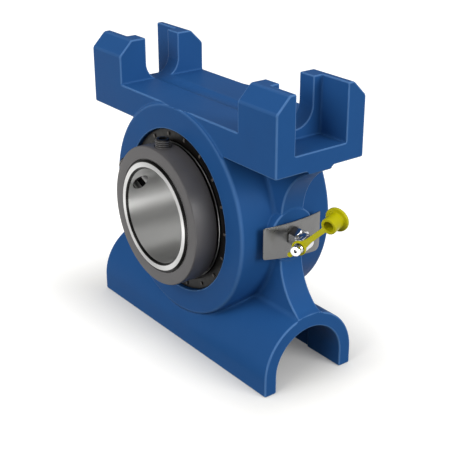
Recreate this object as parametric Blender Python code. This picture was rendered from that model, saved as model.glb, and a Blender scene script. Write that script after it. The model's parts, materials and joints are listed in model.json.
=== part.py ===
# Take-up bearing unit: a one-piece cast housing with a spherical roller bearing, locked to
# its shaft by a collar with two set screws. Metres, +Z up, X along the take-up travel,
# Y along the shaft with the collar on the -Y side. The feet of the housing stand on Z = 0.

import math

import bmesh
import bpy
from mathutils import Matrix, Vector

# Clearances and the overrun that every cut shares
GAP = 0.0003
OVERRUN = 0.004
MERGE_DISTANCE = 0.000001

# Place of the unit under the origin, which is the middle of its outline on the floor
UNIT_SHIFT_X = -0.0083
UNIT_SHIFT_Y = 0.0073

# Beam with the two nut pockets
BEAM_LENGTH = 0.1965
BEAM_WIDTH = 0.0670
BEAM_UNDERSIDE = 0.1440
BEAM_TOP = 0.1630
LUG_TOP = 0.1915
LUG_LENGTH = 0.0351
LUG_CHAMFER = 0.0095
POCKET_DEPTH = 0.0225
POCKET_WIDTH = 0.0390
POCKET_FLOOR = 0.1554
SLOT_RADIUS = 0.0130
SLOT_CENTRE_HEIGHT = 0.1745
CAST_EDGE = 0.0012

# Barrel that holds the bearing
AXIS_HEIGHT = 0.0941
BARREL_RADIUS = 0.0700
BARREL_LENGTH = 0.0704
BARREL_EDGE = 0.0025
OPENING_RADIUS = 0.0537
OPENING_CHAMFER = 0.0008
SNAP_GROOVE_DEPTH = 0.0020

# Arch with the tunnel for the adjusting screw
ARCH_LENGTH = 0.1880
ARCH_RADIUS = 0.0353
ARCH_CENTRE_HEIGHT = 0.0112
ARCH_WALL = 0.0090
TUNNEL_DRAFT = 0.0005
TUNNEL_RELIEF = 0.0013
TUNNEL_RELIEF_LENGTH = 0.1260

# Webs between beam, barrel and arch, one at each end
WEB_THICKNESS = 0.0175
WEB_WAIST = 0.0748
WEB_UPPER_RISE = 0.01292
WEB_UPPER_STOP = 0.0020
WEB_LOWER_DROP = 0.0141
WEB_LOWER_SINK = 0.00125
WEB_END_MARGIN = 0.0003
WEB_ROOT = 0.0500
WEB_EMBED = 0.0050

# Grease boss on the +X web
BOSS_RADIUS = 0.0173
BOSS_PROUD = 0.0004
BOSS_EDGE = 0.0015
GREASE_THREAD_RADIUS = 0.0030
GREASE_PASSAGE_RADIUS = 0.0018
GREASE_SHANK_LENGTH = 0.0100

# Spherical roller bearing
BEARING_OUTER_RADIUS = 0.0600
BEARING_WIDTH = 0.0310
OUTER_RACEWAY_RADIUS = 0.0559
BEARING_EDGE = 0.0010
LUBE_GROOVE_WIDTH = 0.0052
LUBE_GROOVE_DEPTH = 0.0010
LUBE_HOLE_RADIUS = 0.0015
LUBE_HOLE_COUNT = 3
ROLLER_COUNT = 18
ROLLER_RADIUS = 0.0073
ROLLER_LENGTH = 0.0110
ROLLER_PITCH_RADIUS = 0.0475
ROLLER_ROW_OFFSET = 0.0086
GUIDE_RING_INNER = 0.0425
GUIDE_RING_OUTER = 0.0460
GUIDE_RING_INNER_WIDTH = 0.0030
GUIDE_RING_OUTER_WIDTH = 0.0044
CAGE_SHEET = 0.0014
CAGE_BAR_OFFSET = 0.0034
CAGE_END_GAP = 0.0008
CAGE_WINDOW_GAP = 0.00035
CAGE_INNER_FLANGE_DROP = 0.0058
CAGE_OUTER_FLANGE_DROP = 0.0074

# Inner ring
BORE_RADIUS = 0.03095
RING_OUTER_RADIUS = 0.0370
RING_FRONT = 0.0526
RING_REAR = 0.0380
RING_OUTER_CHAMFER = 0.0015
RING_BORE_CHAMFER = 0.0014
RING_LAND_WIDTH = 0.0026
RING_SCREW_HOLE_RADIUS = 0.0057

# Locking collar and its set screws
COLLAR_WALL = 0.0084
COLLAR_RADIUS = RING_OUTER_RADIUS + GAP + COLLAR_WALL
COLLAR_FRONT = 0.0514
COLLAR_REAR = 0.0352
COLLAR_EDGE = 0.0008
SCREW_RADIUS = 0.0049
SCREW_LENGTH = 0.0160
SCREW_TOP_STANDOUT = 0.0050
SCREW_SIDE_STANDOUT = 0.0063
SCREW_AXIS_OFFSET = 0.0432
SCREW_CHAMFER = 0.0010
SCREW_POINT_CHAMFER = 0.0016
SCREW_SOCKET_FLATS = 0.0050
SCREW_SOCKET_DEPTH = 0.0055
SCREW_HOLE_CHAMFER = 0.0006
SCREW_ANGLES = {"set_screw_top": 90.0, "set_screw_side": 155.0}
SCREW_STANDOUTS = {"set_screw_top": SCREW_TOP_STANDOUT, "set_screw_side": SCREW_SIDE_STANDOUT}

# Flingers, seals and snap ring, sized outwards from the inner ring
FLINGER_WIDTH = 0.0083
FLINGER_RADIUS = RING_OUTER_RADIUS + FLINGER_WIDTH
FLINGER_THICKNESS = 0.0010
FLINGER_PLACE = 0.0334
SEAL_FACE_DEPTH = 0.0025
SEAL_THICKNESS = 0.0062
SEAL_STEP_CLEARANCE = 0.0010
SEAL_STEP_RADIUS = FLINGER_RADIUS + SEAL_STEP_CLEARANCE
SEAL_STEP_DEPTH = 0.0017
SEAL_LIP_CLEARANCE = 0.0010
SEAL_LIP_RADIUS = RING_OUTER_RADIUS + SEAL_LIP_CLEARANCE
SEAL_LIP_LENGTH = 0.0030
SEAL_LIP_ROOT_RADIUS = SEAL_LIP_RADIUS + SEAL_LIP_LENGTH
SEAL_LIP_WIDTH = 0.0015
SEAL_LIP_INSET = 0.0015
SEAL_RIB_COUNT = 18
SEAL_RIB_OFFSET = 0.0039
SEAL_RIB_RADIUS = SEAL_STEP_RADIUS + SEAL_RIB_OFFSET
SEAL_RIB_LENGTH = 0.0020
SEAL_RIB_WIDTH = 0.0008
SEAL_RIB_HEIGHT = 0.00035
SNAP_RING_THICKNESS = 0.0020
SNAP_RING_INNER = 0.0570
SNAP_RING_OPEN_ANGLE = 16.0

# Tag plate clamped by the grease nipple; it rises and drops from the height of the shaft
TAG_HALF_WIDTH = 0.0226
TAG_RISE = 0.0097
TAG_DROP_FRONT = 0.0109
TAG_DROP_REAR = 0.0165
TAG_THICKNESS = 0.0007
TAG_BEND_RADIUS = 0.1000
TAG_SMALL_CORNER = 0.0015
TAG_LARGE_CORNER = 0.0040
TAG_HOLE_RADIUS = 0.0036

# Elbow grease nipple with its ball and spring
HEX_FLATS = 0.0110
HEX_LENGTH = 0.0065
HEX_EMBED = 0.0020
ELBOW_ANGLE = 65.0
ELBOW_DISTANCE = 0.0101
ELBOW_RADIUS = 0.0046
SHOULDER_END = 0.0085
SHOULDER_RADIUS = 0.0043
SHOULDER_EDGE = 0.0006
NECK_RADIUS = 0.0031
NECK_END = 0.0119
WAIST_RADIUS = 0.0022
WAIST_PLACE = 0.0130
HEAD_RADIUS = 0.0032
HEAD_START = 0.0139
HEAD_END = 0.0159
HEAD_FACE_RADIUS = 0.0030
NIPPLE_REACH = 0.0163
NIPPLE_MOUTH_RADIUS = 0.0009
NIPPLE_MOUTH_DEPTH = 0.0012
NIPPLE_CHAMBER_RADIUS = 0.0015
NIPPLE_CHAMBER_LENGTH = 0.0070
NIPPLE_PASSAGE_RADIUS = 0.0009
NIPPLE_SEAT_LENGTH = 0.0006
BALL_RADIUS = 0.0012
SPRING_WIRE_RADIUS = 0.00018
SPRING_COIL_RADIUS = 0.00095
SPRING_TURNS = 3

# Dust cap with its strap and ring
CAP_RING_PLACE = 0.0107
CAP_RING_RADIUS = 0.0047
CAP_RING_THICKNESS = 0.0016
CAP_RISE_ANGLE = 44.0
CAP_STRAP_LENGTH = 0.0220
CAP_STRAP_WIDTH = 0.0034
CAP_STRAP_ROOT_WIDTH = 0.0050
CAP_STRAP_THICKNESS = 0.0014
CAP_CUP_RADIUS = 0.0051
CAP_CUP_LENGTH = 0.0108
CAP_HOLE_RADIUS = 0.0032
CAP_HOLE_DEPTH = 0.0084
CAP_FLANGE_RADIUS = 0.0077
CAP_FLANGE_THICKNESS = 0.0020
CAP_EDGE = 0.0005
CAP_TAB_RADIUS = 0.0016
CAP_TAB_REACH = 0.0077
CAP_CUP_DIRECTION_SHARES = (-0.26, 0.95, 0.15)

# Steps in a full circle, from large castings to small turned pieces
FINE_STEPS = 60
RING_STEPS = 44
CAGE_STEPS = 36
SMALL_STEPS = 18
ROLLER_STEPS = 10
TINY_STEPS = 10
ROUNDING_STEPS = 2
WEB_ARC_STEPS = 7
ARCH_STEPS = 22
SLOT_STEPS = 10
ELBOW_STEPS = 4
RACEWAY_STEPS = 5
TRACK_STEPS = 2
BEVEL_STEPS = 1

X_AXIS = Vector((1, 0, 0))
Y_AXIS = Vector((0, 1, 0))
Z_AXIS = Vector((0, 0, 1))
ELBOW_TURN = math.radians(ELBOW_ANGLE)
NIPPLE_DIRECTION = Vector((math.cos(ELBOW_TURN), -math.sin(ELBOW_TURN), 0))

# Colours are linear red, green and blue
MATERIALS = {
    "blue_paint": ((0.026, 0.098, 0.254), 0.42, 0.0),
    "ground_steel": ((0.62, 0.62, 0.61), 0.22, 1.0),
    "bearing_steel": ((0.50, 0.50, 0.50), 0.30, 1.0),
    "blackened_steel": ((0.125, 0.122, 0.120), 0.45, 0.7),
    "black_screw": ((0.018, 0.018, 0.018), 0.38, 0.6),
    "cage_steel": ((0.36, 0.34, 0.30), 0.45, 1.0),
    "seal_rubber": ((0.012, 0.012, 0.010), 0.60, 0.0),
    "spring_steel": ((0.30, 0.30, 0.30), 0.40, 1.0),
    "plated_steel": ((0.70, 0.70, 0.72), 0.15, 1.0),
    "stainless_sheet": ((0.40, 0.40, 0.40), 0.40, 0.9),
    "yellow_plastic": ((0.66, 0.54, 0.006), 0.45, 0.0),
}


def clear_scene():
    for item in list(bpy.data.objects):
        bpy.data.objects.remove(item, do_unlink=True)


def material(name):
    if name in bpy.data.materials:
        return bpy.data.materials[name]
    colour, roughness, metallic = MATERIALS[name]
    made = bpy.data.materials.new(name)
    made.use_nodes = True
    shader = made.node_tree.nodes["Principled BSDF"]
    shader.inputs["Base Color"].default_value = (*colour, 1.0)
    shader.inputs["Roughness"].default_value = roughness
    shader.inputs["Metallic"].default_value = metallic
    made.diffuse_color = (*colour, 1.0)
    return made


def empty(name, parent, location):
    made = bpy.data.objects.new(name, None)
    made.parent = parent
    made.location = location
    bpy.context.scene.collection.objects.link(made)
    return made


def mesh_object(name, shape):
    # Turns a finished bmesh into an object at the origin
    bmesh.ops.remove_doubles(shape, verts=shape.verts, dist=MERGE_DISTANCE)
    bmesh.ops.recalc_face_normals(shape, faces=shape.faces)
    mesh = bpy.data.meshes.new(name)
    shape.to_mesh(mesh)
    shape.free()
    made = bpy.data.objects.new(name, mesh)
    bpy.context.scene.collection.objects.link(made)
    return made


def weld(made):
    # Merges the pairs of vertices that a boolean can leave on top of each other
    shape = bmesh.new()
    shape.from_mesh(made.data)
    bmesh.ops.remove_doubles(shape, verts=shape.verts, dist=MERGE_DISTANCE)
    shape.to_mesh(made.data)
    shape.free()


def finish(made, look, parent, location=(0, 0, 0), turn=None):
    # Gives a piece its material, its smooth shading and its place
    weld(made)
    made.data.materials.clear()
    made.data.materials.append(material(look))
    made.data.shade_smooth()
    made.data.set_sharp_from_angle(angle=math.radians(32))
    made.parent = parent
    made.location = location
    if turn is not None:
        made.rotation_mode = "QUATERNION"
        made.rotation_quaternion = turn
    return made


def bake(made):
    # Replaces the mesh by the one that the modifiers give
    bpy.context.view_layer.update()
    graph = bpy.context.evaluated_depsgraph_get()
    result = bpy.data.meshes.new_from_object(made.evaluated_get(graph))
    old = made.data
    made.modifiers.clear()
    made.data = result
    bpy.data.meshes.remove(old)


def combine(made, tool, operation):
    modifier = made.modifiers.new("combine", "BOOLEAN")
    modifier.operation = operation
    modifier.solver = "EXACT"
    modifier.object = tool
    bake(made)
    bpy.data.objects.remove(tool, do_unlink=True)


def join(made, tool):
    combine(made, tool, "UNION")


def cut(made, tool):
    combine(made, tool, "DIFFERENCE")


def round_edges(made, width):
    modifier = made.modifiers.new("edges", "BEVEL")
    modifier.width = width
    modifier.segments = BEVEL_STEPS
    modifier.limit_method = "ANGLE"
    modifier.angle_limit = math.radians(40)
    bake(made)


def arc(centre, radius, start, end, steps):
    points = []
    for step in range(steps + 1):
        angle = math.radians(start + (end - start) * step / steps)
        points.append((centre[0] + radius * math.cos(angle), centre[1] + radius * math.sin(angle)))
    return points


def prism(name, outline, axis, low, high):
    # Extrudes an outline along X, Y or Z; its points hold the other two axes in X, Y, Z order
    shape = bmesh.new()
    verts = []
    for first, second in outline:
        place = {"X": (low, first, second), "Y": (first, low, second), "Z": (first, second, low)}[axis]
        verts.append(shape.verts.new(place))
    face = shape.faces.new(verts)
    grown = bmesh.ops.extrude_face_region(shape, geom=[face])
    direction = {"X": X_AXIS, "Y": Y_AXIS, "Z": Z_AXIS}[axis]
    moved = [item for item in grown["geom"] if isinstance(item, bmesh.types.BMVert)]
    bmesh.ops.translate(shape, verts=moved, vec=direction * (high - low))
    return mesh_object(name, shape)


def block(name, low, high):
    outline = [(low[0], low[1]), (high[0], low[1]), (high[0], high[1]), (low[0], high[1])]
    return prism(name, outline, "Z", low[2], high[2])


def turned(name, profile, steps, direction, closed=True, centre=(0, 0, 0)):
    # Spins a profile of (radius, place along the axis) points about an axis through centre.
    # An open profile starts and ends on the axis.
    shape = bmesh.new()
    verts = [shape.verts.new((radius, 0, along)) for radius, along in profile]
    edges = [shape.edges.new(pair) for pair in zip(verts, verts[1:])]
    if closed:
        edges.append(shape.edges.new((verts[-1], verts[0])))
    bmesh.ops.spin(
        shape, geom=verts + edges, cent=(0, 0, 0), axis=Z_AXIS, angle=math.tau, steps=steps
    )
    bmesh.ops.remove_doubles(shape, verts=shape.verts, dist=MERGE_DISTANCE)
    turn = Z_AXIS.rotation_difference(Vector(direction)).to_matrix().to_4x4()
    shape.transform(Matrix.Translation(Vector(centre)) @ turn)
    return mesh_object(name, shape)


def radial(angle):
    # Unit vector from the shaft axis, 0 degrees along +X and 90 degrees straight up
    return Vector((math.cos(math.radians(angle)), 0, math.sin(math.radians(angle))))


def mirrored(points):
    return [(-first, second) for first, second in reversed(points)]


def slot_cutter(radius):
    # One U-shaped cut through both pocket walls, which also grooves the top of the beam
    reach = BEAM_LENGTH / 2 - POCKET_DEPTH + OVERRUN
    slot = arc((0, SLOT_CENTRE_HEIGHT), radius, 180, 360, SLOT_STEPS)
    slot += [(radius, LUG_TOP + OVERRUN), (-radius, LUG_TOP + OVERRUN)]
    return prism("slot", slot, "X", -reach, reach)


def beam():
    half = BEAM_LENGTH / 2
    inner = half - LUG_LENGTH
    side = [(half, BEAM_UNDERSIDE), (half, LUG_TOP), (inner, LUG_TOP), (inner, BEAM_TOP)]
    made = prism("beam", side + mirrored(side), "Y", -BEAM_WIDTH / 2, BEAM_WIDTH / 2)
    edge = BEAM_WIDTH / 2
    for sign in (-1, 1):
        outline = [
            (sign * (edge - LUG_CHAMFER - OVERRUN), LUG_TOP + OVERRUN),
            (sign * (edge + OVERRUN), LUG_TOP - LUG_CHAMFER - OVERRUN),
            (sign * (edge + OVERRUN), LUG_TOP + OVERRUN),
        ]
        cut(made, prism("chamfer", outline, "X", -half - OVERRUN, half + OVERRUN))
    wall_face = half - POCKET_DEPTH
    for sign in (-1, 1):
        ends = sorted((sign * wall_face, sign * (half + OVERRUN)))
        low = (ends[0], -POCKET_WIDTH / 2, POCKET_FLOOR)
        high = (ends[1], POCKET_WIDTH / 2, LUG_TOP + OVERRUN)
        cut(made, block("pocket", low, high))
    cut(made, slot_cutter(SLOT_RADIUS))
    round_edges(made, CAST_EDGE)
    return made


def barrel():
    half = BARREL_LENGTH / 2
    rim = BARREL_RADIUS - BARREL_EDGE
    front = arc((rim, -half + BARREL_EDGE), BARREL_EDGE, -90, 0, ROUNDING_STEPS)
    back = arc((rim, half - BARREL_EDGE), BARREL_EDGE, 0, 90, ROUNDING_STEPS)
    profile = [(0, -half)] + front + back + [(0, half)]
    made = turned("barrel", profile, FINE_STEPS, Y_AXIS, closed=False, centre=(0, 0, AXIS_HEIGHT))
    # Its crown stays clear of the groove in the beam
    cut(made, slot_cutter(SLOT_RADIUS + CAST_EDGE))
    return made


def arch():
    centre = (0, ARCH_CENTRE_HEIGHT)
    inner_radius = ARCH_RADIUS - ARCH_WALL
    foot = inner_radius + TUNNEL_DRAFT
    outside = [(ARCH_RADIUS, 0)] + arc(centre, ARCH_RADIUS, 0, 180, ARCH_STEPS) + [(-ARCH_RADIUS, 0)]
    inside = [(-foot, 0)] + arc(centre, inner_radius, 180, 0, ARCH_STEPS) + [(foot, 0)]
    made = prism("arch", outside + inside, "X", -ARCH_LENGTH / 2, ARCH_LENGTH / 2)
    round_edges(made, CAST_EDGE)
    wide = inner_radius + TUNNEL_RELIEF
    relief = [(wide + TUNNEL_DRAFT, -OVERRUN)] + arc(centre, wide, 0, 180, ARCH_STEPS)
    relief += [(-wide - TUNNEL_DRAFT, -OVERRUN)]
    half = TUNNEL_RELIEF_LENGTH / 2
    cut(made, prism("relief", relief, "X", -half, half))
    return made


def web_sweep(across, along):
    # Radius and turn of the arc that leaves the straight waist and ends at this offset
    radius = (across**2 + along**2) / (2 * across)
    return radius, math.atan2(along, radius - across)


def web(sign):
    # The waist is straight beside the shaft, and both ends flare out in an arc. The upper arc
    # stops just under the beam, at its end, and the lower one in the crown of the arch.
    upper_end = BEAM_LENGTH / 2 - WEB_END_MARGIN
    lower_end = ARCH_LENGTH / 2 - WEB_END_MARGIN
    arch_top = ARCH_CENTRE_HEIGHT + ARCH_RADIUS
    upper_start = AXIS_HEIGHT + WEB_UPPER_RISE
    lower_start = AXIS_HEIGHT - WEB_LOWER_DROP
    upper_climb = BEAM_UNDERSIDE - WEB_UPPER_STOP - upper_start
    lower_fall = lower_start - arch_top + WEB_LOWER_SINK
    upper_radius, upper_turn = web_sweep(upper_end - WEB_WAIST, upper_climb)
    lower_radius, lower_turn = web_sweep(lower_end - WEB_WAIST, lower_fall)
    upper_centre = (WEB_WAIST + upper_radius, upper_start)
    lower_centre = (WEB_WAIST + lower_radius, lower_start)
    first = 180 - math.degrees(upper_turn)
    last = 180 + math.degrees(lower_turn)
    edge = arc(upper_centre, upper_radius, first, 180, WEB_ARC_STEPS)
    edge += arc(lower_centre, lower_radius, 180, last, WEB_ARC_STEPS)
    outline = [(WEB_ROOT, BEAM_UNDERSIDE + WEB_EMBED), (upper_end, BEAM_UNDERSIDE + WEB_EMBED)]
    outline += edge + [(lower_end, arch_top - WEB_EMBED), (WEB_ROOT, arch_top - WEB_EMBED)]
    outline = [(sign * along, height) for along, height in outline]
    made = prism("web", outline, "Y", -WEB_THICKNESS / 2, WEB_THICKNESS / 2)
    round_edges(made, CAST_EDGE)
    return made


def grease_boss():
    face = WEB_WAIST + BOSS_PROUD
    rim = arc((BOSS_RADIUS - BOSS_EDGE, face - BOSS_EDGE), BOSS_EDGE, 0, 90, ROUNDING_STEPS)
    profile = [(0, WEB_ROOT), (BOSS_RADIUS, WEB_ROOT)] + rim + [(0, face)]
    return turned("boss", profile, SMALL_STEPS * 2, X_AXIS, closed=False, centre=(0, 0, AXIS_HEIGHT))


def seat_cutter():
    half = BARREL_LENGTH / 2
    seat = BEARING_OUTER_RADIUS + GAP
    shoulder = -BEARING_WIDTH / 2 - GAP
    groove = BEARING_WIDTH / 2 + GAP
    groove_end = groove + SNAP_RING_THICKNESS + 2 * GAP
    mouth = OPENING_RADIUS + OPENING_CHAMFER
    profile = [
        (0, -half - OVERRUN),
        (mouth, -half - OVERRUN),
        (mouth, -half),
        (OPENING_RADIUS, -half + OPENING_CHAMFER),
        (OPENING_RADIUS, shoulder),
        (seat, shoulder),
        (seat, groove),
        (seat + SNAP_GROOVE_DEPTH, groove),
        (seat + SNAP_GROOVE_DEPTH, groove_end),
        (seat, groove_end),
        (seat, half + OVERRUN),
        (0, half + OVERRUN),
    ]
    return turned("seat", profile, FINE_STEPS, Y_AXIS, closed=False, centre=(0, 0, AXIS_HEIGHT))


def grease_hole_cutter():
    face = WEB_WAIST + BOSS_PROUD
    thread_end = face - GREASE_SHANK_LENGTH - GAP
    thread = GREASE_THREAD_RADIUS + GAP
    profile = [
        (0, BEARING_OUTER_RADIUS - OVERRUN),
        (GREASE_PASSAGE_RADIUS, BEARING_OUTER_RADIUS - OVERRUN),
        (GREASE_PASSAGE_RADIUS, thread_end),
        (thread, thread_end),
        (thread, face + OVERRUN),
        (0, face + OVERRUN),
    ]
    return turned("grease_hole", profile, TINY_STEPS, X_AXIS, closed=False, centre=(0, 0, AXIS_HEIGHT))


def housing(unit):
    made = beam()
    made.name = "housing"
    join(made, barrel())
    join(made, arch())
    for sign in (-1, 1):
        join(made, web(sign))
    join(made, grease_boss())
    cut(made, seat_cutter())
    cut(made, grease_hole_cutter())
    finish(made, "blue_paint", unit)


def outer_ring(bearing):
    half = BEARING_WIDTH / 2
    reach = math.degrees(math.asin(half / OUTER_RACEWAY_RADIUS))
    raceway = arc((0, 0), OUTER_RACEWAY_RADIUS, reach, -reach, RACEWAY_STEPS)
    groove = LUBE_GROOVE_WIDTH / 2
    floor = BEARING_OUTER_RADIUS - LUBE_GROOVE_DEPTH
    profile = raceway + [
        (BEARING_OUTER_RADIUS - BEARING_EDGE, -half),
        (BEARING_OUTER_RADIUS, -half + BEARING_EDGE),
        (BEARING_OUTER_RADIUS, -groove),
        (floor, -groove + LUBE_GROOVE_DEPTH / 2),
        (floor, groove - LUBE_GROOVE_DEPTH / 2),
        (BEARING_OUTER_RADIUS, groove),
        (BEARING_OUTER_RADIUS, half - BEARING_EDGE),
        (BEARING_OUTER_RADIUS - BEARING_EDGE, half),
    ]
    made = turned("outer_ring", profile, RING_STEPS, Y_AXIS)
    for number in range(LUBE_HOLE_COUNT):
        low = OUTER_RACEWAY_RADIUS - OVERRUN
        high = BEARING_OUTER_RADIUS + OVERRUN
        hole = [(0, low), (LUBE_HOLE_RADIUS, low), (LUBE_HOLE_RADIUS, high), (0, high)]
        angle = 360 * number / LUBE_HOLE_COUNT
        cut(made, turned("hole", hole, TINY_STEPS, radial(angle), closed=False))
    finish(made, "bearing_steel", bearing)


def contact_slope():
    # Angle between the contact line of a roller and the plane across the shaft
    return math.atan2(ROLLER_ROW_OFFSET, ROLLER_PITCH_RADIUS)


def roller_profile_radius(along):
    # The rollers are barrels whose outline nearly follows the sphere of the outer raceway
    return ROLLER_RADIUS - along * along / (2 * (OUTER_RACEWAY_RADIUS - ROLLER_ROW_OFFSET / 4))


def in_roller_frame(along, above):
    # (radius, place along the shaft) of a point given along and above the axis of a +Y roller
    slope = contact_slope()
    radius = ROLLER_PITCH_RADIUS - along * math.sin(slope) + above * math.cos(slope)
    place = ROLLER_ROW_OFFSET + along * math.cos(slope) + above * math.sin(slope)
    return (radius, place)


def inner_ring(bearing):
    # Front end, two roller tracks with the guide ring's land between them, rear end
    reach = ROLLER_LENGTH / 2
    track = []
    for step in range(TRACK_STEPS + 1):
        along = -reach + 2 * reach * step / TRACK_STEPS
        track.append(in_roller_frame(along, -roller_profile_radius(along) - GAP))
    land = RING_LAND_WIDTH / 2
    land_radius = GUIDE_RING_INNER - GAP - GAP / 3
    half = BEARING_WIDTH / 2
    rear = [(land_radius, land)] + track + [(track[-1][0], half), (RING_OUTER_RADIUS, half)]
    front = [(radius, -place) for radius, place in reversed(rear)]
    profile = [
        (BORE_RADIUS, RING_REAR - RING_BORE_CHAMFER),
        (BORE_RADIUS, -RING_FRONT + RING_BORE_CHAMFER),
        (BORE_RADIUS + RING_BORE_CHAMFER, -RING_FRONT),
        (RING_OUTER_RADIUS - RING_OUTER_CHAMFER, -RING_FRONT),
        (RING_OUTER_RADIUS, -RING_FRONT + RING_OUTER_CHAMFER),
    ]
    profile += front + rear
    profile += [
        (RING_OUTER_RADIUS, RING_REAR - RING_OUTER_CHAMFER),
        (RING_OUTER_RADIUS - RING_OUTER_CHAMFER, RING_REAR),
        (BORE_RADIUS + RING_BORE_CHAMFER, RING_REAR),
    ]
    made = turned("inner_ring", profile, RING_STEPS, Y_AXIS)
    for angle in SCREW_ANGLES.values():
        low = BORE_RADIUS - OVERRUN
        high = RING_OUTER_RADIUS + OVERRUN
        hole = [(0, low), (RING_SCREW_HOLE_RADIUS, low), (RING_SCREW_HOLE_RADIUS, high), (0, high)]
        place = (0, -SCREW_AXIS_OFFSET, 0)
        cut(made, turned("hole", hole, SMALL_STEPS, radial(angle), closed=False, centre=place))
    finish(made, "ground_steel", bearing)


def guide_ring(bearing):
    inner = GUIDE_RING_INNER_WIDTH / 2
    outer = GUIDE_RING_OUTER_WIDTH / 2
    profile = [
        (GUIDE_RING_INNER, inner),
        (GUIDE_RING_INNER, -inner),
        (GUIDE_RING_OUTER, -outer),
        (GUIDE_RING_OUTER, outer),
    ]
    finish(turned("guide_ring", profile, CAGE_STEPS, Y_AXIS), "cage_steel", bearing)


def roller_place(number, side):
    # Frame of one roller: Z along its axis, X along its contact line
    offset = 0 if side > 0 else 0.5
    out = radial(360 * (number + offset) / ROLLER_COUNT)
    slope = contact_slope()
    contact = out * math.cos(slope) + Y_AXIS * side * math.sin(slope)
    along = Y_AXIS * side * math.cos(slope) - out * math.sin(slope)
    across = along.cross(contact)
    turn = Matrix((contact, across, along)).transposed().to_quaternion()
    return out * ROLLER_PITCH_RADIUS + Y_AXIS * side * ROLLER_ROW_OFFSET, turn


def cage(bearing, name, side):
    # A pressed sheet ring over the rollers with a flange at each end and a window for each
    window_end = ROLLER_LENGTH / 2 + CAGE_WINDOW_GAP
    start = ROLLER_LENGTH / 2 + CAGE_END_GAP
    end = start + CAGE_SHEET
    top = CAGE_BAR_OFFSET + CAGE_SHEET
    channel = [
        (-end, CAGE_BAR_OFFSET - CAGE_INNER_FLANGE_DROP),
        (-start, CAGE_BAR_OFFSET - CAGE_INNER_FLANGE_DROP),
        (-start, CAGE_BAR_OFFSET),
        (start, CAGE_BAR_OFFSET),
        (start, CAGE_BAR_OFFSET - CAGE_OUTER_FLANGE_DROP),
        (end, CAGE_BAR_OFFSET - CAGE_OUTER_FLANGE_DROP),
        (end, top),
        (-end, top),
    ]
    profile = []
    for along, above in channel:
        radius, place = in_roller_frame(along, above)
        profile.append((radius, side * place))
    made = turned(name, profile, CAGE_STEPS, Y_AXIS)
    clear = ROLLER_RADIUS + CAGE_WINDOW_GAP
    window = [(0, -window_end), (clear, -window_end), (clear, window_end), (0, window_end)]
    windows = bmesh.new()
    for number in range(ROLLER_COUNT):
        place, turn = roller_place(number, side)
        piece = turned("window", window, ROLLER_STEPS, Z_AXIS, closed=False)
        piece.data.transform(Matrix.Translation(place) @ turn.to_matrix().to_4x4())
        windows.from_mesh(piece.data)
        bpy.data.objects.remove(piece, do_unlink=True)
    cut(made, mesh_object("windows", windows))
    finish(made, "cage_steel", bearing)


def rollers(bearing, name, side):
    reach = ROLLER_LENGTH / 2
    end_radius = roller_profile_radius(reach)
    profile = [(0, -reach), (end_radius, -reach), (ROLLER_RADIUS, 0), (end_radius, reach), (0, reach)]
    pattern = turned(name, profile, ROLLER_STEPS, Z_AXIS, closed=False)
    for number in range(ROLLER_COUNT):
        copy = bpy.data.objects.new(f"{name}_{number + 1:02d}", pattern.data)
        bpy.context.scene.collection.objects.link(copy)
        place, turn = roller_place(number, side)
        finish(copy, "bearing_steel", bearing, place, turn)
    bpy.data.objects.remove(pattern, do_unlink=True)


def collar(bearing):
    inner = RING_OUTER_RADIUS + GAP
    outer = COLLAR_RADIUS - COLLAR_EDGE
    front = arc((outer, -COLLAR_FRONT + COLLAR_EDGE), COLLAR_EDGE, -90, 0, ROUNDING_STEPS)
    back = arc((outer, -COLLAR_REAR - COLLAR_EDGE), COLLAR_EDGE, 0, 90, ROUNDING_STEPS)
    profile = [(inner, -COLLAR_REAR), (inner, -COLLAR_FRONT)] + front + back
    made = turned("collar", profile, RING_STEPS, Y_AXIS)
    hole_radius = SCREW_RADIUS + GAP
    wide = hole_radius + SCREW_HOLE_CHAMFER
    for angle in SCREW_ANGLES.values():
        hole = [
            (0, RING_OUTER_RADIUS - OVERRUN),
            (hole_radius, RING_OUTER_RADIUS - OVERRUN),
            (hole_radius, COLLAR_RADIUS - 2 * SCREW_HOLE_CHAMFER),
            (wide, COLLAR_RADIUS - SCREW_HOLE_CHAMFER),
            (wide, COLLAR_RADIUS + OVERRUN),
            (0, COLLAR_RADIUS + OVERRUN),
        ]
        place = (0, -SCREW_AXIS_OFFSET, 0)
        cut(made, turned("hole", hole, SMALL_STEPS, radial(angle), closed=False, centre=place))
    finish(made, "blackened_steel", bearing)


def hexagon(flats):
    corner = flats / (2 * math.cos(math.radians(30)))
    return arc((0, 0), corner, 0, 300, 5)


def set_screw(bearing, name, angle):
    # The origin is the middle of the top face, on the screw's axis
    profile = [
        (0, 0),
        (SCREW_RADIUS - SCREW_CHAMFER, 0),
        (SCREW_RADIUS, -SCREW_CHAMFER),
        (SCREW_RADIUS, -SCREW_LENGTH + SCREW_POINT_CHAMFER),
        (SCREW_RADIUS - SCREW_POINT_CHAMFER, -SCREW_LENGTH),
        (0, -SCREW_LENGTH),
    ]
    made = turned(name, profile, SMALL_STEPS, Z_AXIS, closed=False)
    cut(made, prism("socket", hexagon(SCREW_SOCKET_FLATS), "Z", -SCREW_SOCKET_DEPTH, OVERRUN))
    height = COLLAR_RADIUS + SCREW_STANDOUTS[name]
    place = radial(angle) * height - Y_AXIS * SCREW_AXIS_OFFSET
    finish(made, "black_screw", bearing, place, Z_AXIS.rotation_difference(radial(angle)))


def flinger(bearing, name, side):
    inner = RING_OUTER_RADIUS + GAP
    start = side * FLINGER_PLACE
    end = side * (FLINGER_PLACE - FLINGER_THICKNESS)
    profile = [(inner, start), (inner, end), (FLINGER_RADIUS, end), (FLINGER_RADIUS, start)]
    finish(turned(name, profile, RING_STEPS, Y_AXIS), "spring_steel", bearing)


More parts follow.
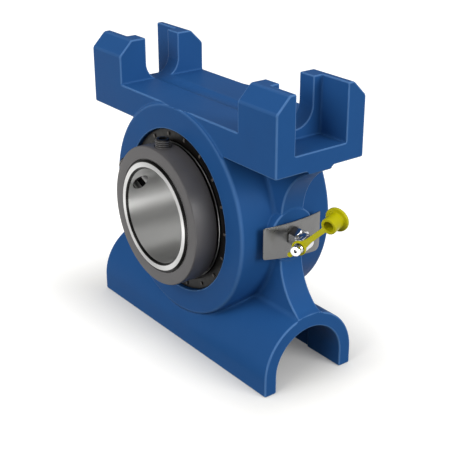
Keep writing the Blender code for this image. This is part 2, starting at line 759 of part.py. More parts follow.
def seal(name, side, outer):
    # A moulded ring whose face steps back behind the flinger and ends in a lip at the ring
    face = BARREL_LENGTH / 2 - SEAL_FACE_DEPTH
    step = face - SEAL_STEP_DEPTH
    back = face - SEAL_THICKNESS
    lip = step - SEAL_LIP_INSET
    points = [
        (outer, face),
        (SEAL_STEP_RADIUS, face),
        (SEAL_STEP_RADIUS, step),
        (SEAL_LIP_ROOT_RADIUS, step),
        (SEAL_LIP_RADIUS, lip),
        (SEAL_LIP_RADIUS, lip - SEAL_LIP_WIDTH),
        (SEAL_LIP_ROOT_RADIUS, back),
        (outer, back),
    ]
    profile = [(radius, side * place) for radius, place in points]
    return turned(name, profile, RING_STEPS, Y_AXIS)


def front_seal(bearing):
    # The seal behind the collar has a ring of short ribs on its face
    made = seal("front_seal", -1, OPENING_RADIUS - GAP)
    face = -BARREL_LENGTH / 2 + SEAL_FACE_DEPTH
    half = SEAL_RIB_WIDTH / 2
    low = (SEAL_RIB_RADIUS - SEAL_RIB_LENGTH / 2, face - SEAL_RIB_HEIGHT, -half)
    high = (SEAL_RIB_RADIUS + SEAL_RIB_LENGTH / 2, face + SEAL_RIB_HEIGHT, half)
    ribs = bmesh.new()
    for number in range(SEAL_RIB_COUNT):
        rib = block("rib", low, high)
        rib.data.transform(Matrix.Rotation(-math.tau * number / SEAL_RIB_COUNT, 4, "Y"))
        ribs.from_mesh(rib.data)
        bpy.data.objects.remove(rib, do_unlink=True)
    join(made, mesh_object("ribs", ribs))
    finish(made, "seal_rubber", bearing)


def rear_seal(bearing):
    finish(seal("rear_seal", 1, BEARING_OUTER_RADIUS), "seal_rubber", bearing)


def snap_ring(bearing):
    outer = BEARING_OUTER_RADIUS + SNAP_GROOVE_DEPTH - GAP
    start = BEARING_WIDTH / 2 + 2 * GAP
    end = start + SNAP_RING_THICKNESS
    profile = [(SNAP_RING_INNER, end), (SNAP_RING_INNER, start), (outer, start), (outer, end)]
    made = turned("snap_ring", profile, CAGE_STEPS, Y_AXIS)
    spread = math.radians(SNAP_RING_OPEN_ANGLE / 2)
    far = outer + OVERRUN
    outline = [(0, 0), (-far * math.tan(spread), far), (far * math.tan(spread), far)]
    cut(made, prism("mouth", outline, "Y", start - OVERRUN, end + OVERRUN))
    finish(made, "spring_steel", bearing)


def tag_bend(across):
    return TAG_BEND_RADIUS - math.sqrt(TAG_BEND_RADIUS**2 - across**2)


def tag_face():
    # Where the middle of the bent plate's back lies, so that it rests on the rim of the boss
    return WEB_WAIST + BOSS_PROUD + GAP + tag_bend(BOSS_RADIUS - BOSS_EDGE)


def tag_plate(unit):
    left = -TAG_HALF_WIDTH
    right = TAG_HALF_WIDTH
    small = TAG_SMALL_CORNER
    large = TAG_LARGE_CORNER
    top = AXIS_HEIGHT + TAG_RISE
    bottom_front = AXIS_HEIGHT - TAG_DROP_FRONT
    bottom_rear = AXIS_HEIGHT - TAG_DROP_REAR
    outline = [(right, top)]
    outline += arc((left + small, top - small), small, 90, 180, ROUNDING_STEPS)
    outline += arc((left + small, bottom_front + small), small, 180, 270, ROUNDING_STEPS)
    outline += arc((right - large, bottom_rear + large), large, 270, 360, ROUNDING_STEPS)
    face = tag_face()
    made = prism("tag_plate", outline, "X", face, face + TAG_THICKNESS)
    hole = [(0, face - OVERRUN), (TAG_HOLE_RADIUS, face - OVERRUN)]
    hole += [(TAG_HOLE_RADIUS, face + OVERRUN), (0, face + OVERRUN)]
    cut(made, turned("hole", hole, SMALL_STEPS, X_AXIS, closed=False, centre=(0, 0, AXIS_HEIGHT)))
    shape = bmesh.new()
    shape.from_mesh(made.data)
    steps = TINY_STEPS
    for number in range(1, steps):
        place = Vector((0, left + (right - left) * number / steps, 0))
        parts = shape.verts[:] + shape.edges[:] + shape.faces[:]
        bmesh.ops.bisect_plane(shape, geom=parts, plane_co=place, plane_no=Y_AXIS)
    for vert in shape.verts:
        vert.co.x -= tag_bend(vert.co.y)
    shape.to_mesh(made.data)
    shape.free()
    finish(made, "stainless_sheet", unit)


def nipple_pivot():
    # Where the axis of the nipple's head meets the axis of its thread
    return Vector((tag_face() + TAG_THICKNESS + GAP + ELBOW_DISTANCE, 0, AXIS_HEIGHT))


def grease_nipple(unit):
    pivot = nipple_pivot()
    base = pivot.x - ELBOW_DISTANCE
    shank_end = WEB_WAIST + BOSS_PROUD - GREASE_SHANK_LENGTH
    shank = [(0, shank_end), (GREASE_THREAD_RADIUS, shank_end)]
    shank += [(GREASE_THREAD_RADIUS, base + HEX_EMBED), (0, base + HEX_EMBED)]
    axis_place = (0, 0, AXIS_HEIGHT)
    made = turned("grease_nipple", shank, SMALL_STEPS, X_AXIS, closed=False, centre=axis_place)
    # The hexagon stands on a corner, and a round neck with a ball end leads from it to the bend
    outline = [(across, AXIS_HEIGHT + up) for up, across in hexagon(HEX_FLATS)]
    join(made, prism("hex", outline, "X", base, base + HEX_LENGTH))
    inside_hex = base + HEX_LENGTH - HEX_EMBED
    elbow = [(0, inside_hex), (ELBOW_RADIUS, inside_hex)]
    elbow += arc((0, pivot.x), ELBOW_RADIUS, 0, 90, ELBOW_STEPS)
    elbow[-1] = (0, pivot.x + ELBOW_RADIUS)
    join(made, turned("elbow", elbow, SMALL_STEPS, X_AXIS, closed=False, centre=axis_place))
    head = [
        (0, 0),
        (SHOULDER_RADIUS, 0),
        (SHOULDER_RADIUS, SHOULDER_END - SHOULDER_EDGE),
        (SHOULDER_RADIUS - SHOULDER_EDGE, SHOULDER_END),
        (NECK_RADIUS, SHOULDER_END),
        (NECK_RADIUS, NECK_END),
        (WAIST_RADIUS, WAIST_PLACE),
        (HEAD_RADIUS, HEAD_START),
        (HEAD_RADIUS, HEAD_END),
        (HEAD_FACE_RADIUS, NIPPLE_REACH),
        (0, NIPPLE_REACH),
    ]
    join(made, turned("head", head, SMALL_STEPS, NIPPLE_DIRECTION, closed=False, centre=pivot))
    chamber_top = NIPPLE_REACH - NIPPLE_MOUTH_DEPTH - NIPPLE_SEAT_LENGTH
    chamber_bottom = NIPPLE_REACH - NIPPLE_CHAMBER_LENGTH
    passage = [
        (0, 0),
        (NIPPLE_PASSAGE_RADIUS, 0),
        (NIPPLE_PASSAGE_RADIUS, chamber_bottom),
        (NIPPLE_CHAMBER_RADIUS, chamber_bottom),
        (NIPPLE_CHAMBER_RADIUS, chamber_top),
        (NIPPLE_MOUTH_RADIUS, NIPPLE_REACH - NIPPLE_MOUTH_DEPTH),
        (NIPPLE_MOUTH_RADIUS, NIPPLE_REACH + OVERRUN),
        (0, NIPPLE_REACH + OVERRUN),
    ]
    cut(made, turned("chamber", passage, TINY_STEPS, NIPPLE_DIRECTION, closed=False, centre=pivot))
    drill = [(0, shank_end - OVERRUN), (NIPPLE_PASSAGE_RADIUS, shank_end - OVERRUN)]
    drill += [(NIPPLE_PASSAGE_RADIUS, pivot.x), (0, pivot.x)]
    cut(made, turned("drill", drill, TINY_STEPS, X_AXIS, closed=False, centre=axis_place))
    finish(made, "plated_steel", unit)


def ball_place():
    # The ball closes the mouth from behind, against the cone at the end of the chamber
    return NIPPLE_REACH - NIPPLE_MOUTH_DEPTH - NIPPLE_SEAT_LENGTH - BALL_RADIUS / 3 - GAP


def nipple_ball(unit):
    profile = arc((0, 0), BALL_RADIUS, -90, 90, TINY_STEPS // 2)
    profile[0] = (0, -BALL_RADIUS)
    profile[-1] = (0, BALL_RADIUS)
    made = turned("nipple_ball", profile, TINY_STEPS, NIPPLE_DIRECTION, closed=False)
    finish(made, "bearing_steel", unit, nipple_pivot() + NIPPLE_DIRECTION * ball_place())


def nipple_spring(unit):
    # A coil of square wire between the foot of the chamber and the ball
    low = NIPPLE_REACH - NIPPLE_CHAMBER_LENGTH + GAP + SPRING_WIRE_RADIUS
    high = ball_place() - BALL_RADIUS - GAP - SPRING_WIRE_RADIUS
    steps = SPRING_TURNS * TINY_STEPS
    shape = bmesh.new()
    rings = []
    for step in range(steps + 1):
        angle = math.tau * step / TINY_STEPS
        out = Vector((math.cos(angle), math.sin(angle), 0))
        centre = out * SPRING_COIL_RADIUS + Z_AXIS * (low + (high - low) * step / steps)
        corners = []
        for across, up in arc((0, 0), SPRING_WIRE_RADIUS, 0, 270, 3):
            corners.append(shape.verts.new(centre + out * across + Z_AXIS * up))
        rings.append(corners)
    for first, second in zip(rings, rings[1:]):
        for side in range(4):
            after = (side + 1) % 4
            shape.faces.new((first[side], first[after], second[after], second[side]))
    shape.faces.new(rings[0])
    shape.faces.new(rings[-1])
    turn = Z_AXIS.rotation_difference(NIPPLE_DIRECTION)
    finish(mesh_object("nipple_spring", shape), "spring_steel", unit, nipple_pivot(), turn)


def dust_cap(unit):
    # One moulded piece, drawn with the nipple's axis along Z and its strap in the XZ plane,
    # then turned so that X rises outwards as the strap does
    rise = math.radians(CAP_RISE_ANGLE)
    outward = Z_AXIS.cross(NIPPLE_DIRECTION)
    strap_way = outward * math.cos(rise) + Z_AXIS * math.sin(rise)
    side_way = NIPPLE_DIRECTION.cross(strap_way)
    frame = Matrix((strap_way, side_way, NIPPLE_DIRECTION)).transposed()
    half = CAP_RING_THICKNESS / 2
    bore = NECK_RADIUS + GAP
    ring = [(bore, -half), (CAP_RING_RADIUS, -half), (CAP_RING_RADIUS, half), (bore, half)]
    made = turned("dust_cap", ring, SMALL_STEPS, Z_AXIS)
    thin = CAP_STRAP_THICKNESS / 2
    middle = (bore + CAP_RING_RADIUS) / 2
    root = CAP_STRAP_ROOT_WIDTH / 2
    edge = CAP_STRAP_WIDTH / 2
    strap = [
        (middle, -root),
        (2 * CAP_RING_RADIUS, -edge),
        (CAP_STRAP_LENGTH, -edge),
        (CAP_STRAP_LENGTH, edge),
        (2 * CAP_RING_RADIUS, edge),
        (middle, root),
    ]
    join(made, prism("strap", strap, "Z", -thin, thin))
    tab = [
        (-middle, -CAP_TAB_RADIUS / 2),
        (-middle, CAP_TAB_RADIUS / 2),
        (-CAP_TAB_REACH, CAP_TAB_RADIUS / 2),
        (-CAP_TAB_REACH, -CAP_TAB_RADIUS / 2),
    ]
    join(made, prism("tab_neck", tab, "Z", -thin, thin))
    knob = arc((-CAP_TAB_REACH, 0), CAP_TAB_RADIUS, 0, 360 - 360 / TINY_STEPS, TINY_STEPS - 1)
    join(made, prism("tab", knob, "Z", -half, half))
    cup_way = Vector(CAP_CUP_DIRECTION_SHARES).normalized()
    cup_way = frame.inverted() @ cup_way
    flange_start = CAP_CUP_LENGTH - CAP_FLANGE_THICKNESS
    flange_rim = CAP_FLANGE_RADIUS - CAP_EDGE
    cup = [
        (0, CAP_HOLE_DEPTH),
        (CAP_HOLE_RADIUS, CAP_HOLE_DEPTH),
        (CAP_HOLE_RADIUS, 0),
        (CAP_CUP_RADIUS - CAP_EDGE, 0),
        (CAP_CUP_RADIUS, CAP_EDGE),
        (CAP_CUP_RADIUS, flange_start),
        (flange_rim, flange_start),
        (CAP_FLANGE_RADIUS, flange_start + CAP_EDGE),
        (CAP_FLANGE_RADIUS, CAP_CUP_LENGTH - CAP_EDGE),
        (flange_rim, CAP_CUP_LENGTH),
        (0, CAP_CUP_LENGTH),
    ]
    # The strap ends in the middle of the cup's wall, just behind its mouth
    wall_middle = (CAP_CUP_RADIUS + CAP_HOLE_RADIUS) / 2
    start = Vector((CAP_STRAP_LENGTH + wall_middle, 0, 0)) - cup_way * CAP_STRAP_THICKNESS
    join(made, turned("cup", cup, SMALL_STEPS, cup_way, closed=False, centre=start))
    place = nipple_pivot() + NIPPLE_DIRECTION * CAP_RING_PLACE
    finish(made, "yellow_plastic", unit, place, frame.to_quaternion())


def build():
    clear_scene()
    unit = empty("unit", None, (UNIT_SHIFT_X, UNIT_SHIFT_Y, 0))
    bearing = empty("bearing_centre", unit, (0, 0, AXIS_HEIGHT))
    housing(unit)
    outer_ring(bearing)
    inner_ring(bearing)
    guide_ring(bearing)
    for name, side in (("front", -1), ("rear", 1)):
        cage(bearing, f"cage_{name}", side)
        rollers(bearing, f"roller_{name}", side)
        flinger(bearing, f"{name}_flinger", side)
    front_seal(bearing)
    rear_seal(bearing)
    snap_ring(bearing)
    collar(bearing)
    for name, angle in SCREW_ANGLES.items():
        set_screw(bearing, name, angle)
    tag_plate(unit)
    grease_nipple(unit)
    nipple_ball(unit)
    nipple_spring(unit)
    dust_cap(unit)


build()
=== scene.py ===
import json
import math

import bmesh
import bpy
import numpy as np
from mathutils import Matrix, Vector


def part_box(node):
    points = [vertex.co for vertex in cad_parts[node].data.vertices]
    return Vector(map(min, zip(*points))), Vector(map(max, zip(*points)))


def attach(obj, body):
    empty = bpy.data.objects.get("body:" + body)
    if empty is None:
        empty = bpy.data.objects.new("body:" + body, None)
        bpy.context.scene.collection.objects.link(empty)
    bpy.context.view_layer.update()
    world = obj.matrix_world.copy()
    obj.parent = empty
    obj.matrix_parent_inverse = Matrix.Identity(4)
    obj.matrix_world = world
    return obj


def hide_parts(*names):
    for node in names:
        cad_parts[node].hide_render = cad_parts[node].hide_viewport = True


# Take-up bearing unit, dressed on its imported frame. Lengths in the dictionaries are millimetres,
# and the meshes are metres. X runs along the take-up travel, Y along the shaft, Z up.
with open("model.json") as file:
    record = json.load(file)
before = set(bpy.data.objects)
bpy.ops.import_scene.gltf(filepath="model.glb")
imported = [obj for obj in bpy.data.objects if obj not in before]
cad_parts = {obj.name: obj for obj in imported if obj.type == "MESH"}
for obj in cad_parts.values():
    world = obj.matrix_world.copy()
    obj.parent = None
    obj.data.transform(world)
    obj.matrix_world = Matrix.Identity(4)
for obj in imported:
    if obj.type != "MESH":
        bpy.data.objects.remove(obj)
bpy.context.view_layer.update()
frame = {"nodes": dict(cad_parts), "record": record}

mm = 0.001
seamGap = 0.0005  # vertices nearer to each other than this, in millimetres, become one
overrun = 4.0  # how far a drilling tool reaches past the wall that it goes through
yAxis, zAxis = Vector((0, 1, 0)), Vector((0, 0, 1))

# The bearing's outer ring gives the middle of the unit and the height of the shaft
ringLow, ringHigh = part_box("outer_ring")
bearingCentre = (ringLow + ringHigh) / 2
footPlace = Matrix.Translation((bearingCentre.x, bearingCentre.y, 0))


# Helpers for places and meshes


def placeAlong(start, way):
    # A place whose Z axis points along the given way
    return Matrix.Translation(start) @ zAxis.rotation_difference(way).to_matrix().to_4x4()


def radialPlace(angle, along):
    # Z points away from the shaft, at 0 degrees along +X and at 90 degrees straight up
    way = Vector((math.cos(math.radians(angle)), 0, math.sin(math.radians(angle))))
    return placeAlong(bearingCentre + yAxis * along * mm, way)


def linkedObject(name, data):
    made = bpy.data.objects.new(name, data)
    bpy.context.scene.collection.objects.link(made)
    return made


def settledMesh(carrier):
    # Returns the mesh that an object's modifiers give, and removes the object with its own mesh
    bpy.context.view_layer.update()
    graph = bpy.context.evaluated_depsgraph_get()
    result = bpy.data.meshes.new_from_object(carrier.evaluated_get(graph))
    source = carrier.data
    carrier.modifiers.clear()
    bpy.data.objects.remove(carrier)
    bpy.data.meshes.remove(source)
    return result


def modified(mesh, *steps):
    # Applies modifiers, each given as (kind, settings), and returns the mesh that results
    carrier = linkedObject("carrier", mesh)
    for kind, settings in steps:
        modifier = carrier.modifiers.new(kind.lower(), kind)
        for key, value in settings.items():
            setattr(modifier, key, value)
    return settledMesh(carrier)


def combined(mesh, tool, operation):
    carrier = linkedObject("tool", tool)
    result = modified(mesh, ("BOOLEAN", {"operation": operation, "solver": "EXACT", "object": carrier}))
    bpy.data.objects.remove(carrier)
    bpy.data.meshes.remove(tool)
    return result


def joined(name, *meshes):
    shape = bmesh.new()
    for mesh in meshes:
        shape.from_mesh(mesh)
        bpy.data.meshes.remove(mesh)
    made = bpy.data.meshes.new(name)
    shape.to_mesh(made)
    shape.free()
    return made


def meshOf(name, shape, place):
    # Closes seams, turns the faces outwards and puts the shape in its place in the row frame
    bmesh.ops.remove_doubles(shape, verts=shape.verts, dist=seamGap)
    bmesh.ops.recalc_face_normals(shape, faces=shape.faces)
    shape.transform(place @ Matrix.Scale(mm, 4))
    mesh = bpy.data.meshes.new(name)
    shape.to_mesh(mesh)
    shape.free()
    return mesh


def softened(points, closed=True, steps=5, mostShare=0.48):
    # Rounds the corners of an outline whose points are (first, second, corner radius). A corner takes
    # at most a share of the sides beside it
    made = []
    for number, (first, second, radius) in enumerate(points):
        isEnd = not closed and number in (0, len(points) - 1)
        if radius == 0 or isEnd:
            made.append((first, second))
            continue
        here = Vector((first, second))
        before = Vector(points[number - 1][:2]) - here
        after = Vector(points[(number + 1) % len(points)][:2]) - here
        half = before.angle(after) / 2
        reach = min(radius / math.tan(half), before.length * mostShare, after.length * mostShare)
        middle = here + (before.normalized() + after.normalized()).normalized() * (reach / math.cos(half))
        start = here + before.normalized() * reach - middle
        end = here + after.normalized() * reach - middle
        sweep = start.angle(end)
        for step in range(steps + 1):
            share = step / steps
            way = start * math.sin((1 - share) * sweep) + end * math.sin(share * sweep)
            made.append(tuple(middle + way / math.sin(sweep)))
    return made


def turnedMesh(name, profile, steps, place, closed=True):
    # Turns rows of (radius, along) about the place's Z axis; a radius may be a function of the angle
    shape = bmesh.new()
    rows = []
    for radius, along in profile:
        if not callable(radius) and radius == 0:
            rows.append([shape.verts.new((0, 0, along))] * steps)
            continue
        row = []
        for step in range(steps):
            angle = math.tau * step / steps
            reach = radius(angle) if callable(radius) else radius
            row.append(shape.verts.new((reach * math.cos(angle), reach * math.sin(angle), along)))
        rows.append(row)
    pairs = list(zip(rows, rows[1:]))
    if closed:
        pairs.append((rows[-1], rows[0]))
    for low, high in pairs:
        for step in range(steps):
            after = (step + 1) % steps
            corners = [low[step], low[after], high[after], high[step]]
            corners = [vert for number, vert in enumerate(corners) if vert not in corners[:number]]
            if len(corners) > 2:
                shape.faces.new(corners)
    return meshOf(name, shape, place)


def rodProfile(radius, low, high):
    return [(0, low), (radius, low), (radius, high), (0, high)]


def withTurned(mesh, operation, profile, steps, place):
    # Adds a solid turned from a profile to a mesh, or takes it away
    return combined(mesh, turnedMesh("tool", profile, steps, place, closed=False), operation)


def prismMesh(name, outline, low, high, place):
    shape = bmesh.new()
    face = shape.faces.new([shape.verts.new((first, second, low)) for first, second in outline])
    grown = bmesh.ops.extrude_face_region(shape, geom=[face])
    moved = [item for item in grown["geom"] if isinstance(item, bmesh.types.BMVert)]
    bmesh.ops.translate(shape, verts=moved, vec=zAxis * (high - low))
    return meshOf(name, shape, place)


def smoothShaded(mesh, angle=30):
    mesh.shade_smooth()
    mesh.set_sharp_from_angle(angle=math.radians(angle))
    return mesh


def addPiece(name, mesh, finish, body, node):
    mesh.materials.clear()
    mesh.materials.append(finish)
    piece = linkedObject(name, mesh)
    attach(piece, body)
    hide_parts(node)
    print("made", name, "with", len(mesh.polygons), "faces")


# Helpers for node trees


def linear(hexColour):
    # sRGB hex to linear red, green, blue, alpha
    made = []
    for start in (1, 3, 5):
        value = int(hexColour[start : start + 2], 16) / 255
        made.append(value / 12.92 if value <= 0.04045 else ((value + 0.055) / 1.055) ** 2.4)
    return (*made, 1.0)


def addNode(tree, kind, settings=None, inputs=None):
    # Adds a node, sets its properties, and sets or links its inputs by name or number
    node = tree.nodes.new(kind)
    for key, value in (settings or {}).items():
        setattr(node, key, value)
    for key, value in (inputs or {}).items():
        if isinstance(value, bpy.types.NodeSocket):
            tree.links.new(value, node.inputs[key])
        else:
            node.inputs[key].default_value = value
    return node


def mottled(tree, shader, place, values):
    # Slow change of colour between two near tones, and of roughness, at a size in millimetres
    cloud = addNode(
        tree,
        "ShaderNodeTexNoise",
        inputs={"Vector": place, "Scale": 1 / (values["mottleSize"] * mm), "Detail": 3.0},
    ).outputs[0]
    blend = addNode(
        tree,
        "ShaderNodeMix",
        {"data_type": "RGBA"},
        {0: cloud, 6: linear(values["darkTone"]), 7: linear(values["lightTone"])},
    )
    tree.links.new(blend.outputs[2], shader.inputs["Base Color"])
    rough = addNode(
        tree,
        "ShaderNodeMapRange",
        inputs={
            "Value": cloud,
            "From Min": 0.3,
            "From Max": 0.7,
            "To Min": values["smooth"],
            "To Max": values["rough"],
        },
    )
    tree.links.new(rough.outputs["Result"], shader.inputs["Roughness"])


def turnedLines(tree, shader, place, values):
    # Fine grooves that a lathe or a grinding wheel leaves round the shaft, on faces and bores alike
    parts = addNode(tree, "ShaderNodeSeparateXYZ", inputs={0: place}).outputs
    across = addNode(tree, "ShaderNodeCombineXYZ", inputs={0: parts[0], 1: parts[2]}).outputs[0]
    reach = addNode(tree, "ShaderNodeVectorMath", {"operation": "LENGTH"}, {0: across}).outputs["Value"]
    along = addNode(tree, "ShaderNodeMath", {"operation": "ADD"}, {0: reach, 1: parts[1]}).outputs[0]
    lines = addNode(
        tree,
        "ShaderNodeTexNoise",
        {"noise_dimensions": "1D"},
        {"W": along, "Scale": 1 / (values["lineSize"] * mm), "Detail": 4.0},
    ).outputs[0]
    bump = addNode(
        tree,
        "ShaderNodeBump",
        inputs={"Strength": values["lineStrength"], "Distance": values["lineDepth"] * mm, "Height": lines},
    )
    tree.links.new(bump.outputs[0], shader.inputs["Normal"])


def grained(tree, shader, place, values):
    # Fine uneven grain, which may be drawn out along an axis
    drawn = addNode(tree, "ShaderNodeMapping", inputs={"Vector": place, "Scale": values["grainWay"]})
    grain = addNode(
        tree,
        "ShaderNodeTexNoise",
        inputs={
            "Vector": drawn.outputs[0],
            "Scale": 1 / (values["grainSize"] * mm),
            "Detail": values["grainDetail"],
        },
    ).outputs[0]
    bump = addNode(
        tree,
        "ShaderNodeBump",
        inputs={"Strength": values["grainStrength"], "Distance": values["grainDepth"] * mm, "Height": grain},
    )
    tree.links.new(bump.outputs[0], shader.inputs["Normal"])


def newMaterial(name, values):
    # Starts a material from its dictionary, with the patterns that the dictionary has sizes for.
    # Returns two sockets as well: the object's coordinates, and those counted from the bearing
    material = bpy.data.materials.new(name)
    material.use_nodes = True
    tree = material.node_tree
    shader = tree.nodes["Principled BSDF"]
    colour = linear(values.get("colour") or values["lightTone"])
    material.diffuse_color = colour
    shader.inputs["Base Color"].default_value = colour
    shader.inputs["Roughness"].default_value = values.get("roughness") or values["rough"]
    shader.inputs["Metallic"].default_value = values["metallic"]
    if "specular" in values:
        shader.inputs["Specular IOR Level"].default_value = values["specular"]
    place = addNode(tree, "ShaderNodeTexCoord").outputs["Object"]
    centred = addNode(
        tree, "ShaderNodeVectorMath", {"operation": "SUBTRACT"}, {0: place, 1: tuple(bearingCentre)}
    ).outputs[0]
    if "mottleSize" in values:
        mottled(tree, shader, place, values)
    if "lineSize" in values:
        turnedLines(tree, shader, centred, values)
    if "grainSize" in values:
        grained(tree, shader, place, values)
    return material, tree, shader, place, centred


def toned(tree, shader, share, colour):
    # Lays a colour over the base colour, as far as the share's socket says
    base = shader.inputs["Base Color"]
    under = base.links[0].from_socket if base.links else tuple(base.default_value)
    blend = addNode(tree, "ShaderNodeMix", {"data_type": "RGBA"}, {0: share, 6: under, 7: linear(colour)})
    tree.links.new(blend.outputs[2], base)


# Finishes

# Semi-gloss enamel sprayed over sand-cast iron: the gloss is even, with a fine orange peel, and
# the slow waves of the casting show in it. Bends are one over the radius in millimetres
enamel = {
    "darkTone": "#224D83",
    "lightTone": "#26558D",
    "smooth": 0.36,
    "rough": 0.42,
    "metallic": 0.0,
    "specular": 0.04,
    "mottleSize": 26.0,
    # The edge and fillet tones below are painted highlights
    "paintedHighlightTone": "#5F88BA",
    "edgeBends": (0.16, 0.8),
    "edgeHighlightShare": 0.5,
    "hollowBends": (-0.1, -0.35),
    "hollowHighlightShare": 0.07,
    "waveSize": 9.0,
    "waveDepth": 0.10,
    "waveStrength": 0.6,
    "peelSize": 1.2,
    "peelDepth": 0.012,
    "peelStrength": 0.7,
}
paintedCasting, tree, shader, place, _ = newMaterial("semiGlossEnamelOnCastIron", enamel)

# Painted highlights: outer edges and fillets are lightened towards a pale blue, standing in for the line of
# light that they catch. The casting's mesh carries how sharply it bends
bend = addNode(tree, "ShaderNodeAttribute", {"attribute_name": "bend"}).outputs["Fac"]
shares = []
for bends, share in (("edgeBends", "edgeHighlightShare"), ("hollowBends", "hollowHighlightShare")):
    start, full = enamel[bends]
    shares.append(
        addNode(
            tree,
            "ShaderNodeMapRange",
            inputs={"Value": bend, "From Min": start, "From Max": full, "To Max": enamel[share]},
        ).outputs["Result"]
    )
# Painted highlight on the outer edges and in the fillets
paintedHighlight = addNode(tree, "ShaderNodeMath", {"operation": "MAXIMUM"}, {0: shares[0], 1: shares[1]})
toned(tree, shader, paintedHighlight.outputs[0], enamel["paintedHighlightTone"])
relief = {}
for pattern in ("wave", "peel"):
    cloud = addNode(
        tree,
        "ShaderNodeTexNoise",
        inputs={"Vector": place, "Scale": 1 / (enamel[pattern + "Size"] * mm), "Detail": 1.0},
    )
    bump = addNode(
        tree,
        "ShaderNodeBump",
        inputs={
            "Strength": enamel[pattern + "Strength"],
            "Distance": enamel[pattern + "Depth"] * mm,
            "Height": cloud.outputs[0],
            **relief,
        },
    )
    relief = {"Normal": bump.outputs[0]}
tree.links.new(bump.outputs[0], shader.inputs["Normal"])

# Bearing steel, ground on the faces and finer in the bore. The chamfers aren't ground, and keep the
# dark scale of the heat treatment. The grinding lines are drawn about five times coarser than real.
# A slant is how far the surface faces along the shaft, from 0 in the bore to 1 on the end faces
ground = {
    "colour": "#E2E2E1",
    "faceTone": "#D6D6D6",
    "scaleTone": "#2B2A2A",
    "roughness": 0.44,
    "scaleRoughness": 0.42,
    "metallic": 1.0,
    "drawnOut": 0.95,
    "drawnWay": 0.25,
    "faceSlant": 0.9,
    "chamferSlant": 0.65,
    "slantReach": 0.22,
    "lineSize": 0.5,
    "lineDepth": 0.002,
    "lineStrength": 0.2,
}
groundSteel, tree, shader, _, centred = newMaterial("groundBearingSteel", ground)

# Grooves round the shaft draw each reflection out across them, into bands along the bore
around = addNode(
    tree, "ShaderNodeVectorMath", {"operation": "CROSS_PRODUCT"}, {0: tuple(yAxis), 1: centred}
).outputs[0]
turned = addNode(
    tree,
    "ShaderNodeVectorTransform",
    {"vector_type": "VECTOR", "convert_from": "OBJECT", "convert_to": "WORLD"},
    {0: around},
).outputs[0]
tree.links.new(turned, shader.inputs["Tangent"])
shader.inputs["Anisotropic"].default_value = ground["drawnOut"]
shader.inputs["Anisotropic Rotation"].default_value = ground["drawnWay"]
facing = addNode(tree, "ShaderNodeTexCoord").outputs["Normal"]
alongShaft = addNode(tree, "ShaderNodeSeparateXYZ", inputs={0: facing}).outputs[1]
slant = addNode(tree, "ShaderNodeMath", {"operation": "ABSOLUTE"}, {0: alongShaft}).outputs[0]
isFace = addNode(
    tree, "ShaderNodeMath", {"operation": "GREATER_THAN"}, {0: slant, 1: ground["faceSlant"]}
).outputs[0]
off = addNode(tree, "ShaderNodeMath", {"operation": "SUBTRACT"}, {0: slant, 1: ground["chamferSlant"]})
off = addNode(tree, "ShaderNodeMath", {"operation": "ABSOLUTE"}, {0: off.outputs[0]}).outputs[0]
isChamfer = addNode(
    tree, "ShaderNodeMath", {"operation": "LESS_THAN"}, {0: off, 1: ground["slantReach"]}
).outputs[0]
toned(tree, shader, isFace, ground["faceTone"])
toned(tree, shader, isChamfer, ground["scaleTone"])
duller = addNode(
    tree,
    "ShaderNodeMapRange",
    inputs={"Value": isChamfer, "To Min": ground["roughness"], "To Max": ground["scaleRoughness"]},
)
tree.links.new(duller.outputs["Result"], shader.inputs["Roughness"])

# Hardened rollers and rings inside, polished by their own running
polished = {
    "colour": "#C6C6C6",
    "roughness": 0.18,
    "metallic": 1.0,
    "lineSize": 0.6,
    "lineDepth": 0.002,
    "lineStrength": 0.2,
}
bearingSteel = newMaterial("polishedBearingSteel", polished)[0]

# Turned collar with a blackened, lightly oiled surface: a dull grey sheen with faint lathe lines
blackened = {
    "darkTone": "#4A4849",
    "lightTone": "#535152",
    "smooth": 0.40,
    "rough": 0.48,
    "metallic": 0.0,
    "mottleSize": 14.0,
    "lineSize": 0.7,
    "lineDepth": 0.006,
    "lineStrength": 0.3,
}
blackenedCollar = newMaterial("blackenedTurnedSteel", blackened)[0]

# Black oxide on hardened screws: nearly black, with a painted grey highlight on the crests of the thread,
# which the screw's mesh marks
oxide = {
    "darkTone": "#131212",
    "lightTone": "#1F1E1E",
    "crestHighlightTone": "#7C7A79",
    "smooth": 0.28,
    "rough": 0.40,
    "metallic": 0.4,
    "mottleSize": 1.5,
}
blackOxide, tree, shader, *_ = newMaterial("blackOxideScrewSteel", oxide)
# Painted highlight on the thread's crests, as far as the mesh's crest share says
crest = addNode(tree, "ShaderNodeAttribute", {"attribute_name": "crest"}).outputs["Fac"]
toned(tree, shader, crest, oxide["crestHighlightTone"])

# Pressed cage sheet, dull with a warm tint from the rolling oil
pressed = {
    "darkTone": "#8F8B80",
    "lightTone": "#A09C90",
    "smooth": 0.38,
    "rough": 0.5,
    "metallic": 1.0,
    "mottleSize": 4.0,
}
pressedSheet = newMaterial("pressedCageSheet", pressed)[0]

